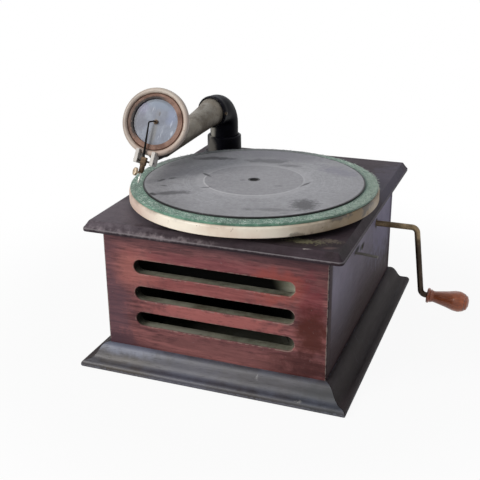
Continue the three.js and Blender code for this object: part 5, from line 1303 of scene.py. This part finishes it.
armShape = {
    "collar": 16.0, "collarHeight": 19.5, "flange": 20.0, "flangeThick": 2.6, "bore": 13.5, "shoulder": 3.0,
    "elbow": 13.2, "elbowWall": 1.3, "bend": 15.0, "crown": 45.4, "ball": 12.8, "lip": 2.2,
    "dip": 10.5, "tube": 84.0, "shoulderRadius": 11.6, "endRadius": 7.6, "tubeWall": 1.2, "gap": 0.3,
}
collarTop = armShape["collarHeight"]
bracketProfile = roundCorners([
    [10.5, 0.3], [armShape["flange"], 0.3], [armShape["flange"], armShape["flangeThick"]],
    [armShape["collar"] + 0.2, armShape["flangeThick"] + 0.2], [armShape["collar"], collarTop],
    [armShape["bore"], collarTop], [armShape["bore"], armShape["shoulder"]], [10.5, armShape["shoulder"]],
], [0.2, 0.3, 0.9, 1.2, 1.2, 0.5, 0.2, 0.2], 6, closed=True)
topDistance = np.abs(bracketProfile - [armShape["collar"], collarTop]) @ [0.5, 1.0]
makePiece("arm_collar", "cabinet",
          [lathe(bracketProfile, 128, lambda points: points + armPlace, edge=topDistance)],
          [enamel], ["tonearm_bracket"])


def slottedHead(radius, height, sides=48):
    # A domed screw head; the slot is where the dome's height drops in a band along local X.
    radii = np.linspace(0, radius, 14)
    angle = np.arange(sides) * 2 * math.pi / sides
    x, y = radii[:, None] * np.cos(angle), radii[:, None] * np.sin(angle)
    dome = height * (0.45 + 0.55 * np.sqrt(np.clip(1 - (radii / radius) ** 2, 0, 1)))[:, None]
    z = np.where(np.abs(y) < 0.16 * radius, dome * 0.45, dome)
    top = np.stack([x, y, z], -1)
    side = np.stack([x[-1:], y[-1:], np.full_like(x[-1:], -0.2)], -1)
    base = np.stack([x[:1] * 0, y[:1] * 0, np.full_like(x[:1], -0.2)], -1)
    return np.concatenate([top, side, base])


flangeScrews = {"count": 3, "circle": 18.2, "radius": 1.35, "height": 0.8, "start": -62.0}
screwShells = []
for index in range(flangeScrews["count"]):
    angle = math.radians(flangeScrews["start"] + index * 360 / flangeScrews["count"])
    spot = armPlace + [flangeScrews["circle"] * math.cos(angle), flangeScrews["circle"] * math.sin(angle),
                       armShape["flangeThick"]]
    twist = angle * 2.3
    axes = ([math.cos(twist), math.sin(twist), 0], [-math.sin(twist), math.cos(twist), 0], [0, 0, 1])
    screw = slottedHead(flangeScrews["radius"], flangeScrews["height"])
    screwShells.append(shell(placed(screw, spot, *map(np.array, axes)), edge=0.6))
makePiece("flange_screws", "cabinet", screwShells, [darkSteel])

liftPlace, liftAxis = jointPlace("arm_lift")
level = unit(-np.cross(liftAxis, (0, 0, 1)))  # straight ahead along the arm, level
upAxis = np.array([0, 0, 1.0])
ballReach = np.linalg.norm((liftPlace - armPlace)[:2])
bendBase = armShape["crown"] - armShape["bend"]
socket = armShape["ball"] + armShape["gap"]
bore = armShape["elbow"] - armShape["elbowWall"]


def elbowLine(steps=26):
    # Up the riser, a quarter circle forwards, and level to the mouth; radius swells from bore to socket.
    riser = np.linspace(armShape["shoulder"] + armShape["gap"], bendBase, 8)
    upright = np.stack([np.zeros(8), riser], -1)
    lean = np.linspace(0, math.pi / 2, steps)
    arc = np.stack([armShape["bend"] * (1 - np.cos(lean)), bendBase + armShape["bend"] * np.sin(lean)], -1)
    ahead = np.linspace(armShape["bend"], ballReach + armShape["lip"], 8)
    straight = np.stack([ahead, np.full(8, armShape["crown"])], -1)
    line = np.concatenate([upright[:-1], arc, straight[1:]])
    share = np.concatenate([np.zeros(7), np.linspace(0, 1, steps), np.ones(7)])
    bent = np.clip((share - 0.3) / 0.7, 0, 1)
    swell = bent * bent * (3 - 2 * bent)
    return line, bore + (socket - bore) * swell


line, insideRadius = elbowLine()
path = armPlace + line[:, :1] * level + line[:, 1:] * upAxis
outside = insideRadius + armShape["elbowWall"]
outside[-1] -= 0.45
bead = np.zeros(len(outside))
bead[-5:-1] = [0.1, 0.34, 0.38, 0.22]
elbowSkin, elbowBore = (swept(path, radius, liftAxis, 72) for radius in (outside + bead, insideRadius))
elbowPoints = np.concatenate([elbowSkin, elbowBore[::-1]])
mouthDistance = np.concatenate([np.linalg.norm(path - path[-1], axis=1) + 0.2, np.full(len(path), far)])
makePiece("arm_elbow", "elbow", [shell(elbowPoints, True, edge=mouthDistance)], [enamel],
          ["tonearm_elbow"])
pivotScrews = {"radius": 1.7, "height": 0.9, "shank": 1.1, "reach": 2.4}
for name, side in (("lift_screw_left", -1), ("lift_screw_right", 1)):
    outward = liftAxis * -side
    spot = liftPlace + outward * (socket + armShape["elbowWall"] + 0.5)
    slot = unit(upAxis + 0.6 * np.cross(outward, upAxis))
    head = slottedHead(pivotScrews["radius"], pivotScrews["height"])
    head = placed(head, spot, slot, unit(np.cross(outward, slot)), outward)
    shankLine = np.linspace(liftPlace + outward * (socket - pivotScrews["reach"]), spot, 4)
    shank = swept(shankLine, pivotScrews["shank"], upAxis, 24)
    makePiece(name.replace("lift_screw", "pivot_screw"), "elbow",
              [shell(head, edge=0.4), shell(shank, caps=True)], [darkSteel], [name])

# The tube: a ball's sine and cosine up to its shoulder, then a taper by a power of the distance.
dip = math.radians(armShape["dip"])
armAhead = math.cos(dip) * level - math.sin(dip) * upAxis
leaves = math.asin(armShape["shoulderRadius"] / armShape["ball"])
ballAngles = np.linspace(math.radians(112), leaves, 22)
ballLine = np.stack([armShape["ball"] * np.sin(ballAngles), armShape["ball"] * np.cos(ballAngles)], -1)
taper = np.linspace(0, 1, 30)[1:]
taperLine = np.stack([
    armShape["shoulderRadius"] + (armShape["endRadius"] - armShape["shoulderRadius"]) * taper**0.8,
    ballLine[-1, 1] + (armShape["tube"] - ballLine[-1, 1]) * taper,
], -1)
tubeOutside = np.concatenate([ballLine, taperLine])
tubeInside = tubeOutside[::-1] - [armShape["tubeWall"], 0]
tubeProfile = np.concatenate([tubeOutside, tubeInside])
across = -liftAxis
tubeEdge = np.concatenate([
    np.full(len(ballLine), far), np.abs(taperLine[:, 1] - armShape["tube"]), np.full(len(tubeInside), far)])


def alongArm(points):
    return placed(points, liftPlace, across, np.cross(armAhead, across), armAhead)


makePiece("arm_tube", "arm", [lathe(tubeProfile, 96, alongArm, edge=tubeEdge)], [nickel],
          ["tonearm_tube"])

# The sound box in its own frame: X along the stylus pivot, -Y out of the face, Z up the needle

boxShape = {
    "radius": 27.3, "depth": 13.0, "ring": 4.5, "lip": 4.5, "bead": 2.2, "gasket": 4.2, "recess": 2.6,
    "mica": 0.6, "standOff": 2.5, "inset": 1.6, "pipe": 6.2, "wall": 1.2, "pivotReach": 32.5,
    "lugSpacing": 13.4, "lugThick": 3.0, "lugDepth": 11.0, "needleReach": 51.3,
}
boxCentre, boxAxis = jointPlace("sound_box_turn")
boxX = jointPlace("stylus_rock")[1]
facing = -boxAxis
boxZ = np.cross(boxX, -facing)
boxAxes = (boxX, -facing, boxZ)


def inBox(points):  # sound box coordinates to the frame
    return placed(points, boxCentre, *boxAxes)


def laid(points):  # a lathe surface, turned so that its axis looks out of the face
    return np.stack([points[..., 0], -points[..., 2], points[..., 1]], -1)


def onFace(points):
    return inBox(laid(points))


face = -boxShape["standOff"]
ringBack = face - boxShape["ring"]
backFace = face - boxShape["depth"]
openRadius = boxShape["radius"] - boxShape["lip"]
bodyRadius = boxShape["radius"] - boxShape["inset"]
pipeBore = boxShape["pipe"] - boxShape["wall"]
bodyProfile = roundCorners([
    [pipeBore, backFace], [0.5 * bodyRadius, backFace], [0.88 * bodyRadius, backFace + 1.8],
    [bodyRadius, backFace + 4.5], [bodyRadius, ringBack - 0.3], [openRadius - 1, ringBack - 0.3],
    [openRadius - 4, ringBack - 3], [pipeBore, ringBack - 4],
], [0.2, 2, 3, 2, 0.4, 0.4, 1, 0.3], 6, closed=True)
makePiece("sound_box_back", "sound_box", [lathe(bodyProfile, 128, onFace)], [darkNickel],
          ["soundbox_body"])

beadAngle = np.linspace(0, math.pi, 22)
beadMiddle = boxShape["radius"] - boxShape["lip"] / 2
beadLine = np.stack([  # half an ellipse over the ring's front
    beadMiddle - boxShape["lip"] / 2 * np.cos(beadAngle),
    face - boxShape["bead"] * (1 - np.sin(beadAngle)),
], -1)
rearLine = roundCorners([[boxShape["radius"], face - boxShape["bead"]], [boxShape["radius"], ringBack],
                         [openRadius, ringBack], [openRadius, face - boxShape["bead"]]], [0, 0.5, 0.3, 0], 4)
ringProfile = np.concatenate([beadLine, rearLine[1:-1]])
ringDistance = np.where(ringProfile[:, 1] < face - 0.9 * boxShape["bead"], 0.4, far)
lugRoot = math.sqrt((boxShape["radius"] - 0.8) ** 2 - (boxShape["lugSpacing"] / 2) ** 2)
lugFoot = boxShape["pivotReach"] + 2.4
underBody = bodyRadius + 0.3
lugOutline = roundCorners([
    [-0.6, 2 - lugRoot], [-ringBack, 2 - lugRoot], [-ringBack, -underBody],
    [boxShape["lugDepth"], -underBody], [boxShape["lugDepth"], -lugFoot], [-0.6, -lugFoot],
], [0.3, 0.2, 0.4, 1.0, 1.6, 1.0], 5, closed=True)
# Each lug is its outline carried across its thickness, drawn in a little at both faces.
lugMiddle = lugOutline.mean(0)
shrink = np.array([0.93, 1, 1, 0.93])[:, None, None]
outlines = lugMiddle + shrink * (lugOutline - lugMiddle)[None]
lugShells = []
for side in (-1, 1):
    places = np.array([-0.5, -0.42, 0.42, 0.5]) * boxShape["lugThick"] + side * boxShape["lugSpacing"] / 2
    xPlaces = np.broadcast_to(places[:, None, None], (*outlines.shape[:2], 1))
    lug = inBox(np.concatenate([xPlaces, outlines], -1))
    lugShells.append(shell(lug, caps=True, material=1, edge=[0.3, 0.9, 0.9, 0.3]))


def flattened(piece):  # keeps each vertex's place across the face, in metres from the box's axis
    flat = np.zeros(len(piece.data.vertices) * 3)
    piece.data.vertices.foreach_get("co", flat)
    offsets = flat.reshape(-1, 3) - boxCentre * mm
    flat = np.stack([offsets @ boxX, offsets @ boxZ, np.zeros(len(offsets))], -1)
    piece.data.attributes.new("flat", "FLOAT_VECTOR", "POINT").data.foreach_set("vector", flat.ravel())


flattened(makePiece("sound_box_ring", "sound_box",
                    [lathe(ringProfile, 192, onFace, edge=ringDistance), *lugShells], [ringPaint, lugPaint],
                    ["soundbox_ring"]))

micaFace = face - boxShape["recess"]
gasketOuter = openRadius - 0.3
gasketInner = gasketOuter - boxShape["gasket"]
gasketProfile = roundCorners([
    [gasketInner, micaFace + 0.3], [gasketOuter, micaFace + 0.3], [gasketOuter, face - 1.0],
    [gasketInner, face - 1.3],
], [0.3, 0.3, 0.9, 1.2], 8, closed=True)
flattened(makePiece("mica_gasket", "sound_box", [lathe(gasketProfile, 160, onFace)], [gasketRubber],
                    ["soundbox_gasket"]))


micaRings = np.concatenate([np.linspace(0, gasketOuter, 24), [gasketOuter, 0]])
micaHeights = np.concatenate([np.full(24, micaFace), [micaFace - boxShape["mica"]] * 2])
micaProfile = np.stack([micaRings, micaHeights], -1)
flattened(makePiece("mica_disc", "sound_box", [lathe(micaProfile, 96, onFace)], [mica],
                    ["diaphragm"]))

barShape = {"foot": 0.4, "jog": 3.6, "thin": 0.55, "thick": 1.1, "block": (2.2, 2.2, 3.4), "holder": 2.1,
            "needle": 0.75}
pivotY = boxShape["standOff"] / 2
footY = -micaFace - 0.75  # stays clear of the mica as the bar rocks
reachDown = boxShape["pivotReach"]
barCorners = np.array([
    [barShape["foot"], footY, 0], [barShape["foot"], 0.2, 0], [-barShape["jog"], -0.4, -1.6],
    [-1.2, pivotY, -reachDown + 4], [0, pivotY, -reachDown],
])
barPath = evenly(roundCorners(barCorners, [0, 1.0, 1.2, 1.0, 0], 8), 90)
barRadius = barShape["thin"] + (barShape["thick"] - barShape["thin"]) * np.linspace(0, 1, 90) ** 1.5
barSkin = inBox(swept(barPath, barRadius, (0, 1, 0.35), 24))
footProfile = roundCorners([[0, 0], [1.7, 0], [1.7, 0.6], [0.9, 1.0], [0, 1.0]], [0, 0.2, 0.3, 0.2, 0], 3)
footPlace = [barShape["foot"], footY + 0.3, 0]
footSkin = lathe(footProfile, 32, lambda points: inBox(laid(points) + footPlace), material=1)
blockHalf = np.array(barShape["block"])
blockSkin = inBox(block(blockHalf) + [0, pivotY, -reachDown - 0.2])
holderEnd = -boxShape["needleReach"] + 9
holderTop = -reachDown - 3
holderProfile = roundCorners([
    [0, holderEnd], [1.5, holderEnd], [barShape["holder"], holderEnd + 2.4], [barShape["holder"], holderTop],
    [0, holderTop],
], [0, 0.3, 0.8, 0.4, 0], 4)


def onNeedleLine(points):
    return inBox(points + [0, pivotY, 0])


holderSkin = lathe(holderProfile, 40, onNeedleLine, edge=1.2, material=1)
makePiece("stylus_arm", "stylus",
          [shell(barSkin, caps=True), footSkin, shell(blockSkin, material=1), holderSkin],
          [blackIronAndShade, rustySteel], ["stylus_bar"])

needleTip, needleTop = -boxShape["needleReach"], -reachDown - 9.2
needleProfile = np.array([
    [0, needleTip], [0.15, needleTip + 0.15], [0.5, needleTip + 1.6], [barShape["needle"], needleTip + 3.4],
    [barShape["needle"], needleTop], [0, needleTop],
])
makePiece("steel_needle", "stylus", [lathe(needleProfile, 32, onNeedleLine)], [brightSteel],
          ["needle"])

pinSpan = boxShape["lugSpacing"] / 2 + boxShape["lugThick"] / 2 + 0.35
pinProfile = roundCorners([[0, -pinSpan], [0.95, -pinSpan], [0.8, -pinSpan + 0.7], [0.8, pinSpan - 0.7],
                           [0.95, pinSpan], [0, pinSpan]], [0, 0.25, 0.1, 0.1, 0.25, 0], 3)


def acrossLugs(points):  # the lathe's axis goes along X, through both lugs
    return inBox(np.roll(points, 1, axis=-1) + [0, pivotY, -reachDown])


makePiece("pivot_pin", "sound_box", [lathe(pinProfile, 28, acrossLugs)], [darkSteel],
          ["stylus_pivot_pin"])

screwPlace, screwAxis = jointPlace("needle_screw_turn")
screwProfile = roundCorners([
    [0, 1.05], [1, 1.05], [1, 3.3], [2.9, 3.4], [3.2, 3.9], [3.2, 5.5], [2.6, 5.9], [0, 6.0],
], [0, 0, 0.1, 0.2, 0.2, 0.3, 0.3, 0], 4)


def knurl(angle):  # 26 ridges
    return 1 + 0.028 * np.cos(26 * angle)


side = unit(np.cross(screwAxis, upAxis))


def onScrew(points):
    return placed(points, screwPlace, side, np.cross(screwAxis, side), screwAxis)


makePiece("thumb_screw", "needle_screw", [lathe(screwProfile, 260, onScrew, knurl, edge=0.8)],
          [paleBronze], ["needle_screw"])

# The swan neck: a cubic curve from the tube's end into the back of the sound box.
neckStart = liftPlace + armAhead * (armShape["tube"] + armShape["gap"])
neckEnd = boxCentre - facing * (boxShape["depth"] + boxShape["standOff"] + armShape["gap"])
bulge = 1.25 * 7 + boxShape["pipe"]
controls = np.array([neckStart, neckStart + armAhead * 2 * bulge, neckEnd - facing * 1.7 * bulge, neckEnd])
t = np.linspace(0, 1, 60)[:, None]
neckPath = ((1 - t) ** 3 * controls[0] + 3 * t * (1 - t) ** 2 * controls[1] + 3 * t**2 * (1 - t) * controls[2]
            + t**3 * controls[3])
neckRadius = boxShape["pipe"] + 0.7 * np.exp(-(t[:, 0] / 0.05) ** 2)  # a bead where it meets the tube
neckOutside = swept(neckPath, neckRadius, liftAxis, 56)
neckInside = swept(neckPath, pipeBore, liftAxis, 56)
makePiece("swan_neck", "arm", [shell(np.concatenate([neckOutside, neckInside[::-1]]), True)],
          [darkNickel], ["gooseneck"])
print("stage: tone arm and sound box")

crankShape = {"rod": 2.5, "bendX": 125.2, "bend": 5.0, "handleStart": 5.4, "handleLength": 36.0, "bulge": 9.0,
              "flange": 6.6, "neck": 4.8}
handlePlace, handleAxis = jointPlace("handle_spin")
crankStart = nodeBox("crank_rod")[0][0]
pinEnd = handlePlace + handleAxis * (crankShape["handleStart"] + crankShape["handleLength"] - 4)
crankCorners = np.array([
    [crankStart, *crankPlace[1:]], [crankShape["bendX"], *crankPlace[1:]], handlePlace, pinEnd,
])
crankPath = roundCorners(crankCorners, [0, crankShape["bend"], crankShape["bend"], 0], 14)
crankPath = np.concatenate([
    evenly(crankPath[:2], 30), crankPath[2:15], evenly(crankPath[15:17], 24), crankPath[17:-1],
    evenly(crankPath[-2:], 16),
])
crankPath = crankPath[np.concatenate([[True], np.linalg.norm(np.diff(crankPath, axis=0), axis=1) > 1e-6])]
crankSkin = swept(crankPath, crankShape["rod"], (0, 1, 0), 48)
makePiece("crank_bar", "crank", [shell(crankSkin, caps=True)], [crankSteel], ["crank_rod"])

length, bulge, flange, neck = (crankShape[key] for key in ("handleLength", "bulge", "flange", "neck"))
handleBore = crankShape["rod"] + 0.3
handleLine = roundCorners([
    [0, length - 3], [handleBore, length - 3], [handleBore, 0], [flange, 0], [flange, 2.0], [neck + 0.5, 2.6],
    [neck + 1.1, 3.5], [neck + 0.4, 4.4], [neck, 6.0], [neck + 0.9, 10.5], [0.78 * bulge, 17],
    [0.97 * bulge, 23.5], [bulge, 28.0], [0.84 * bulge, 32.2], [0.74 * bulge, 33.1], [0.66 * bulge, 34.6],
    [0.3 * bulge, 35.9], [0, length],
], [0, 0.1, 0.2, 0.8, 0.8, 0.5, 0.8, 0.5, 2, 6, 12, 10, 5, 1.5, 0.6, 1.4, 2, 0], 6)
handleSide = np.array([0.0, 1.0, 0.0])
handleOrigin = handlePlace + handleAxis * crankShape["handleStart"]
fromFlange = np.clip(np.abs(handleLine[:, 1] - 1.0), 0, far)
handleEdge = np.where((handleLine[:, 0] > flange - 0.8) & (handleLine[:, 1] <= 5), fromFlange, far)
handleEdge = np.where(np.abs(handleLine[:, 1] - 32.8) < 0.8, 0.2, handleEdge)


def onHandle(points):
    return placed(points, handleOrigin, np.cross(handleSide, handleAxis), handleSide, handleAxis)


makePiece("crank_grip", "crank_handle", [lathe(handleLine, 112, onHandle, edge=handleEdge)],
          [handleWood], ["crank_handle"])
print("stage: crank")

# Finishes of the nodes that stay as they are.
finishes = {
    # The spindle's near black is painted shade for its hole.
    "bottom_board": rawWood, "horn": hornMetal, "spindle": blackIronAndShade, "brake_rod": darkNickel,
    "speed_screw": blackIronAndShade, "motor_mount": rubber,
    **dict.fromkeys(["regulator_lever", "mainspring", "governor_weight"], darkSteel),
    **dict.fromkeys(["regulator_pin", "motor_top_plate", "motor_bottom_plate", "barrel_arbor", "layshaft",
                     "governor_shaft", "governor_bracket"], innerSteel),
    **dict.fromkeys(["motor_pillar", "mainspring_barrel", "crown_wheel", "layshaft_wheel", "governor_disc",
                     "worm_wheel", "crank_pinion"], brass),
}
for name, node in frame["nodes"].items():
    fits = [key for key in finishes if name.startswith(key)]
    if fits and not node.hide_render:
        node.data.materials.clear()
        node.data.materials.append(finishes[max(fits, key=len)])

# The floor and the world show white to the camera and in reflections, and light the object plainly.
floorShape = {  # metres; the shadow shows near the object, where the floor is a little less than white
    "reach": 6.0, "below": -0.0004, "shadowNear": 0.18, "shadowFar": 0.4, "shadowWhite": 0.93,
}
floorMesh = bpy.data.meshes.new("floor")
reachOut, below = floorShape["reach"], floorShape["below"]
floorCorners = [(x * reachOut, y * reachOut, below) for x, y in ((-1, -1), (1, -1), (1, 1), (-1, 1))]
floorMesh.from_pydata(floorCorners, [], [(0, 1, 2, 3)])
floor = bpy.data.objects.new("floor", floorMesh)
bpy.context.scene.collection.objects.link(floor)
floor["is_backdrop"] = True


def seenPlain(tree):  # 1 for the rays that look, 0 for those that light
    rays = put(tree, "ShaderNodeLightPath").outputs
    looking = larger(tree, rays["Is Camera Ray"], rays["Is Glossy Ray"])
    return larger(tree, looking, rays["Is Transmission Ray"])


def swapShader(tree, share, first, second, output):
    both = put(tree, "ShaderNodeMixShader", {0: share, 1: first.outputs[0], 2: second.outputs[0]})
    tree.links.new(both.outputs[0], tree.nodes[output].inputs["Surface"])


floorPaint, tree, shader, place = newMaterial("floor_paint", Roughness=0.9, Base_Color=tone(205, 205, 205))
lit = put(tree, "ShaderNodeEmission", {"Color": (1, 1, 1, 1), "Strength": 1.0})
away = spread(tree, lengthOf(tree, place["Object"]), floorShape["shadowNear"], floorShape["shadowFar"],
              floorShape["shadowWhite"], 1.0)
swapShader(tree, times(tree, seenPlain(tree), away), shader, lit, "Material Output")
floorMesh.materials.append(floorPaint)

world = bpy.data.worlds.new("studio")
bpy.context.scene.world = world
world.use_nodes = True
tree = world.node_tree
plain = tree.nodes["Background"]
plain.inputs["Color"].default_value = (0.9, 0.94, 1.0, 1)
plain.inputs["Strength"].default_value = 0.27
white = put(tree, "ShaderNodeBackground", {"Color": (1, 1, 1, 1), "Strength": 1.0})
swapShader(tree, seenPlain(tree), plain, white, "World Output")
print("stage: floor and world")

low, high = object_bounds()
